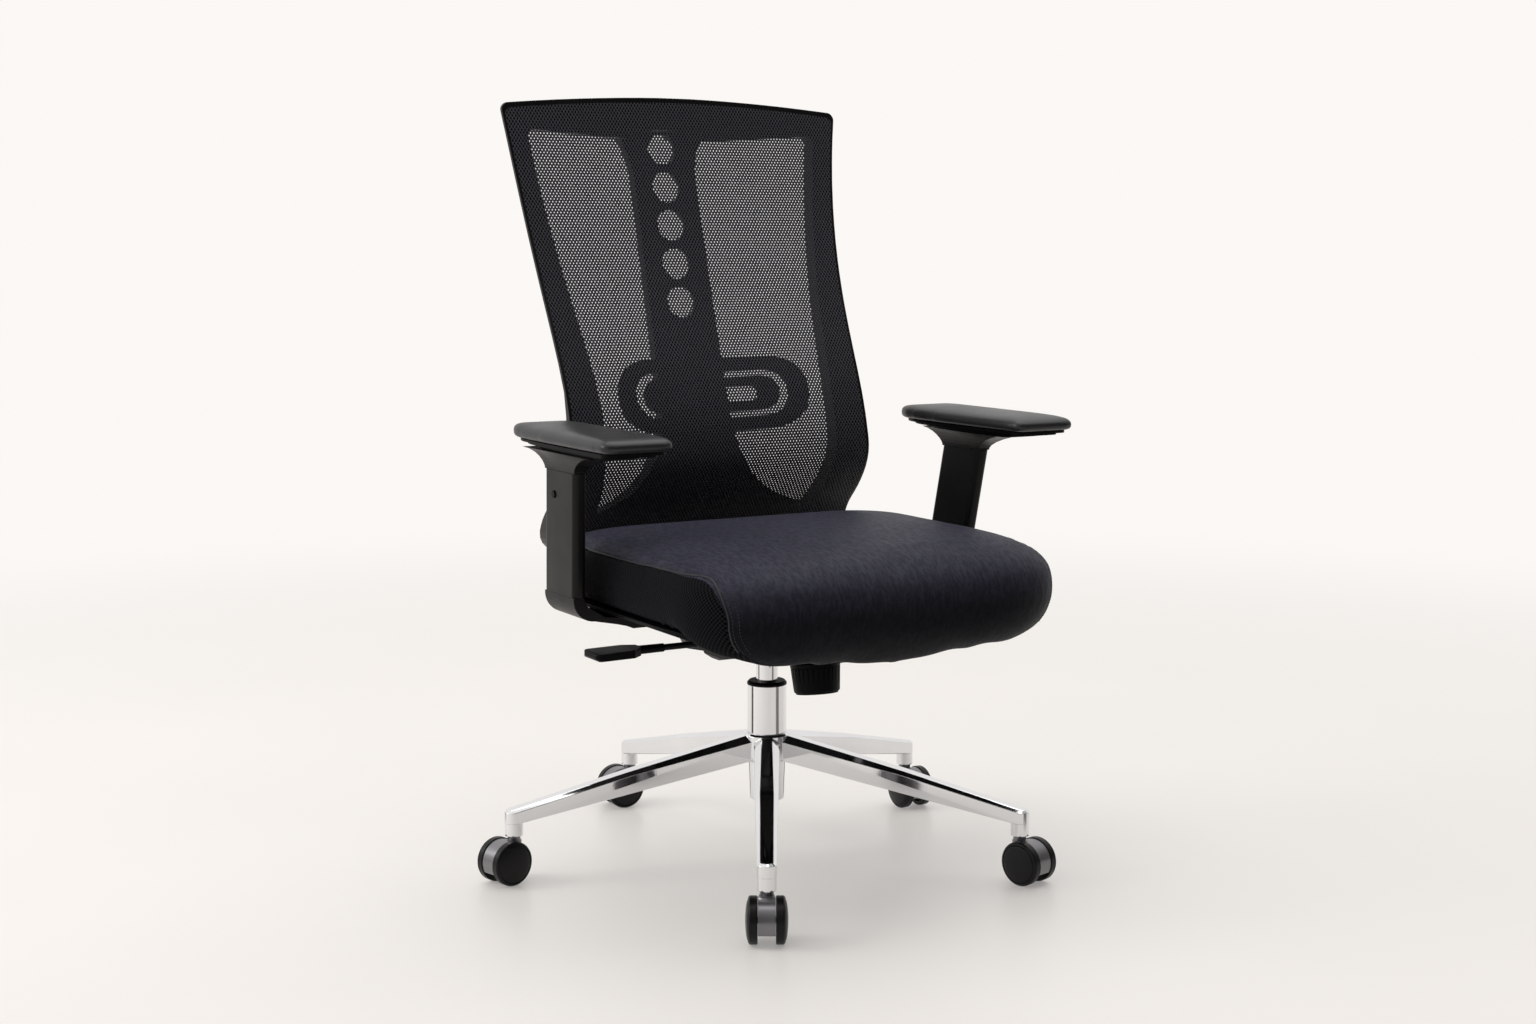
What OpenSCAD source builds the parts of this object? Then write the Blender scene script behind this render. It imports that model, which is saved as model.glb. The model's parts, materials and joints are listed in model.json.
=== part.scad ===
// Swivel office chair: five-star base, gas lift, synchro-tilt mechanism, upholstered seat,
// height-adjustable arms and a moulded back frame with a stretched mesh skin.
// The origin is on the floor under the column, +Z is up and the sitter faces -Y.

/* [Base and casters] */
// Distance from the column to each caster stem
stem_circle = 330; // [300:1:360]
// Direction of the first leg, seen from above
leg_first = -120; // [-180:1:180]
// Height of the hub's upper rim
hub_top = 166; // [155:1:180]
// Outer diameter of the hub
hub_d = 61; // [59:0.5:72]
// Width of a leg at the hub
leg_root_w = 33; // [28:0.5:38]
// Width of a leg at its tip
leg_tip_w = 23; // [21:0.5:27]
// Wall thickness of the cast legs
leg_wall = 4; // [3:0.25:5]
// Diameter of a caster wheel
wheel_d = 55; // [50:0.5:62]
// Width over both wheels of a caster
caster_w = 49; // [46:0.5:56]
// Width of the hood between the wheels
hood_w = 20; // [19:0.5:24]
// Distance that a wheel axle trails behind its stem
trail = 15; // [13:0.5:18]
// Diameter of the caster stem
stem_d = 11; // [9:0.5:12]
// Diameter of the caster axle
axle_d = 8; // [6:0.5:9]

/* [Gas lift] */
// Diameter of the outer tube
tube_d = 50; // [48:0.5:52]
// Height of the outer tube's rim
tube_top = 228; // [215:1:235]
// Diameter of the sliding pressure cylinder
lift_d = 28; // [26:0.5:30]
// Travel of the seat height
lift_travel = 100; // [60:5:110]

/* [Mechanism] */
// Height of the mechanism's floor
mech_z = 258; // [254:1:262]
// Width of the mechanism housing
mech_w = 116; // [108:1:124]
// Height of the tilt mechanism's top edge
mech_top = 310; // [306:1:312]
// Wall thickness of the housing
mech_wall = 4; // [3:0.5:5]
// Diameter of the main tilt axle
main_axle_d = 14; // [12:0.5:16]
// Diameter of the tension knob at its top
knob_d = 62; // [54:1:66]
// Height of the tension knob
knob_h = 40; // [32:1:44]
// Length of the height lever's rod outside the housing
lever_out = 142; // [120:1:160]

/* [Seat] */
// Width of the seat cushion
seat_w = 501; // [480:1:520]
// Height of the seat shell's underside
seat_z = 337; // [335:1:341]
// Height of the cushion's crown
seat_top = 441; // [435:1:450]
// Rearmost edge of the cushion
seat_rear = 168; // [150:1:170]
// Foremost edge of the cushion, ahead of the column
seat_front = 347; // [335:1:370]
// Thickness of the seat shell
pan_t = 12; // [10:0.5:13]

/* [Arms] */
// Distance from the seat's side to the middle of an arm pad
arm_gap = 31; // [29:0.5:40]
// Front-to-back depth of an arm post
post_d = 83; // [76:1:90]
// Side-to-side thickness of an arm post
post_t = 17; // [15:0.5:20]
// Outward lean of an arm post
post_lean = 3.5; // [2:0.5:6]
// Height of the arm pad's upper face
pad_top = 575; // [565:1:585]
// Length of an arm pad
pad_l = 296; // [250:1:300]
// Width of an arm pad
pad_w = 94; // [84:1:100]
// Thickness of an arm pad
pad_t = 21; // [16:0.5:24]
// Height travel of an arm
arm_travel = 70; // [40:5:80]

/* [Back] */
// Width of the back at its top corners
back_w = 500; // [470:1:520]
// Height of the back's top corners
back_top = 966; // [930:1:1000]
// Distance of the top corners behind the column
back_top_y = 248; // [235:1:260]
// Height where the back reaches furthest forward
lumbar_z = 515; // [505:1:525]
// Distance of that point behind the column
lumbar_y = 108; // [104:1:112]
// Thickness of the mesh skin
mesh_t = 2.5; // [1.5:0.25:3.5]
// Depth of the moulded frame behind the mesh
frame_t = 24; // [20:1:28]
// Width of the central spine
spine_w = 92; // [84:1:104]
// Thickness of the central spine
spine_t = 15; // [12:0.5:18]
// Backward slope of the spine
spine_slope = 0.279; // [0.265:0.001:0.3]
// Diameter of the round holes in the spine
spine_hole_d = 41; // [30:1:44]
// Distance between the spine's holes
spine_hole_pitch = 51; // [47:0.5:53]
// Width of the lumbar support
lumbar_w = 282; // [250:1:300]
// Height of the lumbar support
lumbar_h = 98; // [84:1:104]

/* [Hidden] */

$fn = 96;
eps = 0.01;
run_gap = 0.05;     // radial clearance of a running fit
seat_gap = 0.02;    // radial clearance of a tight fit
soft_gap = 0.3;     // clearance round a soft piece
hull_fn = 32;

arm_spacing = seat_w + 2*arm_gap;
back_rise = back_top - lumbar_z;        // height of the back above its foremost line

// Shared colours
polished = "silver";
black = "#1b1b1d";
charcoal = "#2c2d31";
steel = "#8d9094";

// ---------- general helpers ----------

// Cubic curve through p[0] and p[3], steered by p[1] and p[2]
function bezier(p, n, from = 0) =
    [for (i = [from : n]) let (t = i / n, s = 1 - t)
        s*s*s*p[0] + 3*s*s*t*p[1] + 3*s*t*t*p[2] + t*t*t*p[3]];

// Points of an arc about c
function arc(c, r, a0, a1, n) =
    [for (i = [0 : n]) let (a = a0 + (a1 - a0)*i/n) c + r*[cos(a), sin(a)]];

// The same points with x turned round, in reverse order, to close a symmetric outline
function mirrored(p) = [for (i = [len(p)-1 : -1 : 0]) [-p[i][0], p[i][1]]];

function shifted(p, d) = [for (q = p) q + d];
function backwards(p) = [for (i = [len(p)-1 : -1 : 0]) p[i]];

// Extrudes a side view, drawn as (y, z), to both sides of x = 0
module across(w) { rotate([90, 0, 90]) linear_extrude(w, center = true) children(); }

// Extrudes a front view, drawn as (x, z), from y0 to y1
module along_y(y0, y1) { translate([0, y1, 0]) rotate([90, 0, 0]) linear_extrude(y1 - y0) children(); }

// Extrudes a top view from z0 to z1
module up_z(z0, z1) { translate([0, 0, z0]) linear_extrude(z1 - z0) children(); }

module rounded_rect(w, d, r) {
    square([w - 2*r, d], center = true);
    square([w, d - 2*r], center = true);
    for (i = [-1, 1], j = [-1, 1]) translate([i*(w/2 - r), j*(d/2 - r)]) circle(r);
}

// A straight round bar along x
module bar_x(d, w) { rotate([0, 90, 0]) cylinder(d = d, h = w, center = true); }

module at_sides() { children(); mirror([1, 0, 0]) children(); }

// ---------- star base ----------

tip_top = 90.5;
tip_bottom = 74;
socket_z = 58;
socket_depth = 25;
hub_bottom = 130;
taper_end = 79;                         // lower end of the gas lift's tapered tube
tube_end_d = tube_d - 6;
function tube_r(z) = z > hub_top ? tube_d/2
    : tube_end_d/2 + (tube_d - tube_end_d)/2 * (z - taper_end)/(hub_top - taper_end);

// Cross-section of a leg: flat crown, chamfers of width c, sides that narrow downwards
function leg_section(w, top, depth, c) =
    [[-w/2 + c, top], [w/2 - c, top], [w/2, top - c*0.8], [w/2 - 1.5, top - depth],
     [-w/2 + 1.5, top - depth], [-w/2, top - c*0.8]];

leg_mid_x = stem_circle*0.55;
leg_mid_top = tip_top + (hub_top - tip_top)*0.5 + 1;
leg_mid_w = (leg_root_w + leg_tip_w)/2;
tip_r = leg_tip_w/2;

module leg_slice(x, w, top, depth, chamfer) {
    translate([x, 0, 0]) rotate([90, 0, 90]) linear_extrude(0.5)
        polygon(leg_section(w, top, depth, chamfer));
}

module leg_outer() {
    root_x = 22;
    hull() {
        leg_slice(root_x, leg_root_w, hub_top - 1, hub_top - hub_bottom - 3.5, leg_root_w*0.3);
        leg_slice(leg_mid_x, leg_mid_w, leg_mid_top, 26, leg_mid_w*0.2);
        translate([stem_circle, 0, tip_bottom])
            cylinder(r = tip_r, h = tip_top - tip_bottom - 3, $fn = hull_fn);
        translate([stem_circle, 0, tip_bottom])
            cylinder(r = tip_r - 3, h = tip_top - tip_bottom, $fn = hull_fn);
    }
}

// Hollow of a leg, open at the bottom
module leg_hollow() {
    x0 = hub_d/2 + 6;
    x1 = stem_circle - tip_r - leg_wall;
    slope = (hub_top - tip_top)/(stem_circle - 22);
    top0 = hub_top - leg_wall - 3 - slope*(x0 - 22);
    top1 = tip_top - leg_wall - 2 + slope*(stem_circle - x1);
    intersection() {
        rotate([90, 0, 0]) linear_extrude(leg_root_w, center = true)
            polygon([[x0, 60], [x1, 60], [x1, top1], [x0, top0]]);
        up_z(55, hub_top) polygon([[x0, -leg_root_w/2 + leg_wall + 1], [x1, -tip_r + leg_wall - 0.5],
            [x1, tip_r - leg_wall + 0.5], [x0, leg_root_w/2 - leg_wall - 1]]);
    }
}

module leg_ribs() {
    for (k = [0.3, 0.52, 0.74]) {
        x = stem_circle*k;
        top = hub_top - (hub_top - tip_top)*k;
        w = leg_root_w + (leg_tip_w - leg_root_w)*k - 2*leg_wall;
        translate([x - 1.25, -w/2, top - 15]) cube([2.5, w, 12]);
    }
}

module star_base() {
    color(polished) difference() {
        union() {
            difference() {
                for (i = [0 : 4]) rotate(leg_first + 72*i) leg_outer();
                for (i = [0 : 4]) rotate(leg_first + 72*i) leg_hollow();
            }
            for (i = [0 : 4]) rotate(leg_first + 72*i) {
                leg_ribs();
                translate([stem_circle, 0, socket_z]) cylinder(r = tip_r - 0.2, h = tip_top - socket_z - 8);
            }
            rotate_extrude() polygon([[20, hub_bottom], [hub_d/2 - 2, hub_bottom],
                [hub_d/2, hub_bottom + 2], [hub_d/2, hub_top - 2.5], [hub_d/2 - 2.5, hub_top],
                [20, hub_top]]);
        }
        rotate_extrude() polygon([[0, hub_bottom - 40],
            [tube_r(hub_bottom - 40) + seat_gap, hub_bottom - 40], [tube_r(hub_top) + seat_gap, hub_top],
            [tube_r(hub_top) + seat_gap, hub_top + 10], [0, hub_top + 10]]);
        for (i = [0 : 4]) rotate(leg_first + 72*i)
            translate([stem_circle, 0, socket_z - 1]) cylinder(d = stem_d + 2*run_gap, h = socket_depth + 1);
    }
}

// ---------- gas lift ----------

lift_r = lift_d/2;
tube_wall = 2;
tube_floor = 4;
bearing_z = taper_end + tube_floor;
bearing_h = 8;
shoulder_z = bearing_z + bearing_h + 0.3;
shoulder_h = 4;
rod_r = 5;
lift_bottom = shoulder_z + shoulder_h + 3;
lift_top = 282;
taper_socket_z = mech_z;
bore_r = lift_r - 2;
bore_bottom = lift_bottom + 14;
bore_top = 262;
piston_top = bore_top - 4;
flange_h = 5;

module gas_cylinder() {
    color(polished) difference() {
        rotate_extrude() polygon([[0, taper_end], [tube_end_d/2 - 1, taper_end],
            [tube_end_d/2, taper_end + 1], [tube_d/2, hub_top], [tube_d/2, tube_top], [0, tube_top]]);
        translate([0, 0, bearing_z]) cylinder(d = tube_end_d - 2*tube_wall, h = tube_top);
        translate([0, 0, taper_end - 1]) cylinder(r = rod_r + run_gap, h = tube_floor + 2);
    }
}

module guide_sleeve() {
    outer = tube_end_d/2 - tube_wall - seat_gap;
    inner = lift_r + run_gap;
    color(black) rotate_extrude() polygon([[inner, tube_top - 82], [outer, tube_top - 82],
        [outer, tube_top], [tube_d/2 + 0.3, tube_top], [tube_d/2 + 0.3, tube_top + flange_h - 2.5],
        [tube_d/2 - 2, tube_top + flange_h], [inner, tube_top + flange_h]]);
}

module thrust_bearing() {
    ring_out = tube_end_d/2 - tube_wall - 1;
    ring_in = rod_r + 0.5;
    race_h = 2.4;
    ball_r = (bearing_h - 2*race_h)/2 + 0.25;
    color(steel) translate([0, 0, bearing_z]) {
        difference() {
            union() {
                cylinder(r = ring_out - 4, h = race_h);
                translate([0, 0, bearing_h - race_h]) cylinder(r = ring_out - 4, h = race_h);
            }
            translate([0, 0, -1]) cylinder(r = ring_in, h = bearing_h + 2);
        }
        for (a = [0 : 45 : 315]) rotate(a) translate([(ring_out - 4 + ring_in)/2, 0, bearing_h/2])
            sphere(ball_r, $fn = 24);
    }
}

module piston_rod() {
    color(steel) rotate_extrude() polygon([[0, taper_end - 4], [rod_r - 1, taper_end - 4],
        [rod_r - 1, taper_end - 1.6], [rod_r, taper_end - 1.6], [rod_r, shoulder_z],
        [rod_r + 3, shoulder_z], [rod_r + 3, shoulder_z + shoulder_h], [rod_r, shoulder_z + shoulder_h],
        [rod_r, piston_top - 10], [bore_r - run_gap, piston_top - 10], [bore_r - run_gap, piston_top],
        [0, piston_top]]);
}

// Spring clip that keeps the rod in the tube's floor
module rod_clip() {
    color(steel) difference() {
        translate([0, 0, taper_end - 1.5]) cylinder(r = rod_r + 4, h = 1.2);
        translate([0, 0, taper_end - 3]) cylinder(r = rod_r + seat_gap, h = 4);
        translate([0, -2, taper_end - 3]) cube([rod_r + 6, 4, 4]);
    }
}

module lift_cylinder() {
    taper = 0.75;
    valve_hole_r = 4;
    color(polished) difference() {
        rotate_extrude() polygon([[0, lift_bottom], [lift_r - 1, lift_bottom], [lift_r, lift_bottom + 1],
            [lift_r, taper_socket_z], [lift_r - taper, lift_top], [0, lift_top]]);
        translate([0, 0, bore_bottom]) cylinder(r = bore_r, h = bore_top - bore_bottom);
        translate([0, 0, lift_bottom - 1]) cylinder(r = rod_r + run_gap, h = 20);
        translate([0, 0, bore_top + 4]) cylinder(r = valve_hole_r, h = 30);
    }
}

lever_z = 295;
lever_rod_d = 8;
valve_gap = 0.6;
valve_travel = 5;

module valve_pin() {
    valve_top = lever_z - lever_rod_d/2 - valve_gap;
    color(steel) translate([0, 0, bore_top + 4 + valve_travel + 1]) cylinder(r = 4 - run_gap,
        h = valve_top - bore_top - 5 - valve_travel);
}

// ---------- tilt mechanism ----------

// The three pivots lie on one sloping line, so seat and back turn at a nearly fixed ratio
front_pivot = [-85, 300];
main_pivot = [30, 286];
link_pivot = [106.6, 276.7];
front_pin_d = 12;
link_pin_d = 10;
nose_y = -152;
knob_tilt = 8;
knob_at = [0, -118, 278];

module housing_side(inset, top) {
    polygon([[nose_y + inset, top], [nose_y + inset, 292], [nose_y + inset + 6, 283 + inset],
        [-90, mech_z + 22 + inset], [-60, mech_z + 18 + inset], [-20, mech_z + 11 + inset],
        [10, mech_z + 5 + inset], [30, mech_z + inset], [50, mech_z + inset],
        [60, mech_z + 4 + inset], [74 - inset, 276], [74 - inset, top == mech_top ? 297 : top],
        [40, top == mech_top ? 303 : top], [-40, top]]);
}

// Round boss of the taper socket
module socket_boss() {
    translate([0, 0, taper_socket_z]) cylinder(r = lift_r + 6, h = lift_top + 2 - taper_socket_z);
}

module knob_frame() { translate(knob_at) rotate([-knob_tilt, 0, 0]) children(); }

bolt_d = 10;

module mechanism_housing() {
    edge = 5;
    inner_w = mech_w - 2*mech_wall;
    color(black) difference() {
        union() {
            difference() {
                intersection() {
                    across(mech_w) housing_side(0, mech_top);
                    along_y(nose_y - 1, 80) polygon([[-mech_w/2, mech_top + 1],
                        [-mech_w/2, mech_z + edge], [-mech_w/2 + edge, mech_z], [mech_w/2 - edge, mech_z],
                        [mech_w/2, mech_z + edge], [mech_w/2, mech_top + 1]]);
                    up_z(mech_z - 1, mech_top + 1) polygon([[-30, nose_y], [30, nose_y],
                        [mech_w/2, nose_y + 40], [mech_w/2, 80], [-mech_w/2, 80], [-mech_w/2, nose_y + 40]]);
                }
                intersection() {
                    across(inner_w) housing_side(mech_wall, mech_top + 10);
                    up_z(mech_z - 1, mech_top + 20) polygon([[-26, nose_y + mech_wall],
                        [26, nose_y + mech_wall], [inner_w/2, nose_y + 42], [inner_w/2, 80],
                        [-inner_w/2, 80], [-inner_w/2, nose_y + 42]]);
                }
            }
            socket_boss();
            knob_frame() cylinder(r = bolt_d/2 + 7, h = 16);
            for (x = [-42, 42]) translate([x, 0, 0]) across(3) polygon([[-60, mech_z + 19],
                [-20, mech_z + 12], [6, mech_z + 6.5], [6, mech_z + 16], [-60, mech_z + 28]]);
        }
        rotate_extrude() polygon([[0, taper_socket_z - 1], [lift_r + seat_gap, taper_socket_z - 1],
            [lift_r + seat_gap, taper_socket_z],
            [lift_r - 0.75 + seat_gap, lift_top], [lift_r - 0.75 + seat_gap, lift_top + 5],
            [0, lift_top + 5]]);
        translate([0, main_pivot[0], main_pivot[1]]) bar_x(main_axle_d + 2*seat_gap, mech_w + 10);
        translate([0, front_pivot[0], front_pivot[1]]) bar_x(front_pin_d + 2*seat_gap, mech_w + 10);
        knob_frame() translate([0, 0, -20]) cylinder(d = bolt_d + 2*run_gap, h = 60);
        translate([-mech_w/2, lever_y, lever_z]) bar_x(lever_ball_d + 2*run_gap, 4*mech_wall);
    }
}

pin_head = 2.5;
cheek_t = 10;
cheek_gap = 1.2;
axle_w = mech_w + 2*(cheek_gap + cheek_t) + 1;

// A pivot pin with a thin head at each end
module headed_pin(d, w, at) {
    translate([0, at[0], at[1]]) {
        bar_x(d, w);
        for (s = [-1, 1]) translate([s*(w/2 + pin_head/2), 0, 0]) bar_x(d + 5, pin_head);
    }
}

module main_axle() { color(steel) headed_pin(main_axle_d, axle_w, main_pivot); }

ear_t = 4;
ear_gap = 0.5;
front_ear_x = mech_w/2 + ear_gap;

module front_pivot_pin() { color(steel) headed_pin(front_pin_d, 2*(front_ear_x + ear_t) + 1, front_pivot); }

// Sweeps a small polygon along a path; every ring stands square to the path
function unit(v) = v/norm(v);
function ring_at(path, i, r, sides) =
    let (n = len(path), d = unit(path[min(i + 1, n - 1)] - path[max(i - 1, 0)]),
         u = unit(cross(d, abs(d[0]) < 0.8 ? [1, 0, 0] : [0, 0, 1])), v = cross(d, u))
    [for (k = [0 : sides - 1]) path[i] + r*(u*cos(360*k/sides) + v*sin(360*k/sides))];

module sweep(path, r, sides) {
    n = len(path);
    points = [for (i = [0 : n - 1]) each ring_at(path, i, r, sides)];
    walls = [for (i = [0 : n - 2], k = [0 : sides - 1]) let (k2 = (k + 1) % sides)
        [i*sides + k, i*sides + k2, (i + 1)*sides + k2, (i + 1)*sides + k]];
    caps = [[for (k = [sides - 1 : -1 : 0]) k], [for (k = [0 : sides - 1]) (n - 1)*sides + k]];
    polyhedron(points, concat(walls, caps));
}

spring_wire = 4.4;
spring_r = 14;
spring_turns = 5;

// One torsion spring: a long front leg, the coil round the axle and a short rear leg
module torsion_spring(x0) {
    pitch = spring_wire + 0.7;
    low = main_pivot[1] - spring_r;
    coil = [for (a = [0 : 36 : 360*spring_turns])
        [x0 + pitch*a/360, main_pivot[0] + spring_r*sin(a), main_pivot[1] - spring_r*cos(a)]];
    legs = concat([[x0, -62, low + 13.5], [x0, -12, low + 3]], coil,
        [[x0 + pitch*spring_turns + 0.5, main_pivot[0] + 12, low],
         [x0 + pitch*spring_turns + 0.5, 66, low + 2]]);
    sweep(legs, spring_wire/2, 6);
}

module torsion_springs() {
    color(steel) { torsion_spring(23); mirror([1, 0, 0]) torsion_spring(23); }
}

module tension_bolt() {
    color(steel) knob_frame() {
        translate([0, 0, -knob_h + 6]) cylinder(d = bolt_d, h = knob_h + 14);
        translate([0, 0, 16 + run_gap]) cylinder(d = 18, h = 6, $fn = 6);
    }
}

// Plan of the knob's grip: a wheel with square ribs
function ribbed(r, ribs, depth) = [for (i = [0 : ribs - 1]) let (a = 360*i/ribs, q = 360/ribs)
    each [r*[cos(a - q*0.3), sin(a - q*0.3)], r*[cos(a + q*0.3), sin(a + q*0.3)],
        (r - depth)*[cos(a + q*0.38), sin(a + q*0.38)], (r - depth)*[cos(a + q*0.62), sin(a + q*0.62)]]];

module tension_knob() {
    ribs = 30;
    taper = 2.6;
    rim = 2.5;
    color(charcoal) knob_frame() difference() {
        union() {
            rotate_extrude() polygon([[0, -knob_h], [knob_d/2 - taper - rim, -knob_h],
                [knob_d/2 - taper - 1.6, -knob_h + rim], [knob_d/2 - 1.7, -7], [knob_d/2, -7],
                [knob_d/2, -3], [knob_d/2 - 1.5, -1], [0, -1]]);
            intersection() {
                translate([0, 0, -knob_h]) linear_extrude(knob_h - 8) polygon(ribbed(knob_d/2, ribs, 2));
                rotate_extrude() polygon([[0, -knob_h + 2], [knob_d/2 - taper - 1, -knob_h + 2],
                    [knob_d/2 - taper, -knob_h + 3.5], [knob_d/2 - 0.4, -8], [0, -8]]);
            }
        }
        difference() {
            translate([0, 0, -12]) cylinder(r = knob_d/2 - 5, h = 20);
            translate([0, 0, -13]) cylinder(r = bolt_d/2 + 5, h = 22);
        }
        translate([0, 0, -knob_h + 5.9]) cylinder(d = bolt_d + 2*seat_gap, h = knob_h + 10);
    }
}

// ---------- height lever ----------

lever_y = -28;
lever_ball_d = 18;
paddle_l = 65;
paddle_w = 44;
paddle_t = 11;

module lever_bush() {
    color(black) difference() {
        translate([-mech_w/2, lever_y, lever_z]) sphere(d = lever_ball_d);
        translate([-mech_w/2, lever_y, lever_z]) bar_x(lever_rod_d + 2*run_gap, lever_ball_d + 2);
    }
}

module lever_rod() {
    color(black) {
        translate([-mech_w/2 - lever_out, lever_y, lever_z]) rotate([0, 90, 0])
            cylinder(d = lever_rod_d, h = lever_out + mech_w/2);
        translate([0, lever_y, lever_z]) sphere(d = lever_rod_d);
        translate([0, lever_y, lever_z]) rotate([-90, 0, 0]) cylinder(d = lever_rod_d, h = -lever_y + 3);
    }
}

module lever_paddle() {
    neck = 14;
    collar_l = 34;
    x0 = -mech_w/2 - lever_out + 3;
    color(black) difference() {
        union() {
            intersection() {
                up_z(lever_z - paddle_t/2, lever_z + paddle_t/2) polygon(concat(
                    [[x0, lever_y - 8], [x0, lever_y + 8], [x0 - neck, lever_y + paddle_w/2 - 2]],
                    arc([x0 - paddle_l + 8, lever_y + paddle_w/2 - 8], 8, 90, 180, 6),
                    arc([x0 - paddle_l + 8, lever_y - paddle_w/2 + 8], 8, 180, 270, 6),
                    [[x0 - neck, lever_y - paddle_w/2 + 2]]));
                along_y(lever_y - paddle_w, lever_y + paddle_w) polygon(concat(
                    [[x0 + 1, lever_z - 5.5], [x0 + 1, lever_z + 5.5], [x0 - neck, lever_z + 4.5]],
                    arc([x0 - paddle_l + 4, lever_z - 0.5], 4, 90, 180, 6),
                    [[x0 - paddle_l, lever_z - 2.5], [x0 - paddle_l + 3, lever_z - 5.5]]));
            }
            translate([x0 - 2, lever_y, lever_z]) rotate([0, 90, 0])
                cylinder(d1 = paddle_t, d2 = lever_rod_d + 2.4, h = collar_l + 2);
        }
        translate([x0 + collar_l + 1, lever_y, lever_z]) rotate([0, -90, 0])
            cylinder(d = lever_rod_d + 2*seat_gap, h = collar_l + 4.1);
    }
}

// ---------- seat ----------

plate_t = 3;
plate_half = 88;
plate_front = -128;
plate_rear = 136;
rear_ear_x = 30;
seat_bolt_d = 6;
seat_bolt_at = [[-68, -108], [68, -108], [-68, 116], [68, 116]];

// Side view of an ear from the plate down to a pivot
module ear_side(at, r, reach) {
    polygon([[at[0] - reach, seat_z - plate_t + 1], [at[0] - r, at[1]], [at[0] + r, at[1]],
        [at[0] + reach, seat_z - plate_t + 1]]);
    translate(at) circle(r);
}

module seat_plate() {
    slot = 4;
    color(black) difference() {
        union() {
            up_z(seat_z - plate_t, seat_z) difference() {
                translate([0, (plate_front + plate_rear)/2])
                    rounded_rect(2*plate_half, plate_rear - plate_front, 14);
                translate([0, 0]) circle(d = 44);
                for (y = [-62, 66]) translate([0, y]) rounded_rect(60, 26, 8);
            }
            for (s = [-1, 1]) {
                translate([s*(front_ear_x + ear_t/2), 0, 0]) across(ear_t)
                    ear_side(front_pivot, 12, 26);
                translate([s*rear_ear_x, 0, 0]) across(ear_t) ear_side(link_pivot, 12, 24);
                translate([s*(plate_half - plate_t/2), 0, 0]) across(plate_t)
                    polygon([[-100, seat_z - 1], [-92, seat_z - 13], [98, seat_z - 13], [106, seat_z - 1]]);
            }
        }
        translate([0, front_pivot[0], front_pivot[1]]) bar_x(front_pin_d + 2*run_gap, 200);
        across(100) {
            for (d = [-slot, slot]) translate(link_pivot + [d, 0]) circle(d = link_pin_d + 1);
            translate(link_pivot) square([2*slot, link_pin_d + 1], center = true);
        }
        for (p = seat_bolt_at) translate([p[0], p[1], seat_z - plate_t - 1])
            cylinder(d = seat_bolt_d + 0.6, h = 6);
    }
}

// Rounded plan of the seat: half-width w, front and rear edges, depth and width of the front corners
function corner_curve(a, k) = [pow(sin(a), k), 1 - pow(cos(a), k)];
function seat_half(w, front, rear, cx, cy) = concat([[0, front]],
    [for (a = [0 : 7.5 : 90]) let (q = corner_curve(a, 0.91)) [w - cx + cx*q[0], front + cy*q[1]]],
    [for (a = [0 : 15 : 90]) let (c = min(76, (rear - front)/4))
        [w - c + c*pow(cos(a), 0.91), rear - c + c*pow(sin(a), 0.91)]],
    [[0, rear]]);

corner_x = seat_w*0.277;
corner_y = seat_front*0.341;
pan_w = seat_w/2 - 9;
pan_flat = pan_w - 40.5;                // where the shell's underside begins to rise to its side
pan_rise = 4;                           // rise of the underside 10 mm short of the shell's side
pan_nose = -seat_front + 63;            // foremost edge of the shell, behind the cushion's nose

// Underside of the shell, seen from the side: level, then dipping under the front edge
function pan_line(d) = concat(
    [[seat_rear - 8, seat_z + 5 + d], [seat_rear - 40, seat_z + 1 + d], [90, seat_z + d], [-185, seat_z + d]],
    bezier([[-185, seat_z + d], [-225, seat_z + d], [-255, seat_z - 10 + d],
        [pan_nose, seat_z - 27 + d]], 8, 1));

module seat_pan() {
    color(black) difference() {
        intersection() {
            up_z(seat_z - 60, seat_z + 40)
                polygon(whole(seat_half(pan_w, pan_nose - 30, seat_rear - 8, corner_x*1.25, corner_y*1.35)));
            across(seat_w) polygon(concat(pan_line(0), backwards(pan_line(pan_t))));
            along_y(-seat_front - 20, seat_rear + 20) polygon(whole([[0, seat_z - 34],
                [pan_w*0.29, seat_z - 28], [pan_w*0.54, seat_z - 14], [pan_flat - 25, seat_z - 1],
                [pan_flat, seat_z], [pan_w - 10, seat_z + pan_rise], [pan_w, seat_z + 8],
                [pan_w, seat_z + 40], [0, seat_z + 40]]));
        }
        for (p = seat_bolt_at) translate([p[0], p[1], seat_z - 1])
            cylinder(d = seat_bolt_d + 2*seat_gap, h = 9);
        at_sides() for (p = foot_bolt_at) translate([p[0], p[1], seat_z - 1])
            cylinder(d = seat_bolt_d + 2*seat_gap, h = 9);
    }
}

// A hexagon-headed bolt that points up from z
module bolt_up(z, grip) {
    translate([0, 0, z]) cylinder(d = seat_bolt_d, h = grip);
    translate([0, 0, z - 4]) cylinder(d = 11, h = 4);
}

module seat_bolts() {
    color(steel) {
        for (p = seat_bolt_at) translate([p[0], p[1], 0]) bolt_up(seat_z - plate_t, plate_t + 7);
        at_sides() for (p = foot_bolt_at) translate([p[0], p[1], 0]) bolt_up(seat_z - foot_t, foot_t + 7);
    }
}

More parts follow.
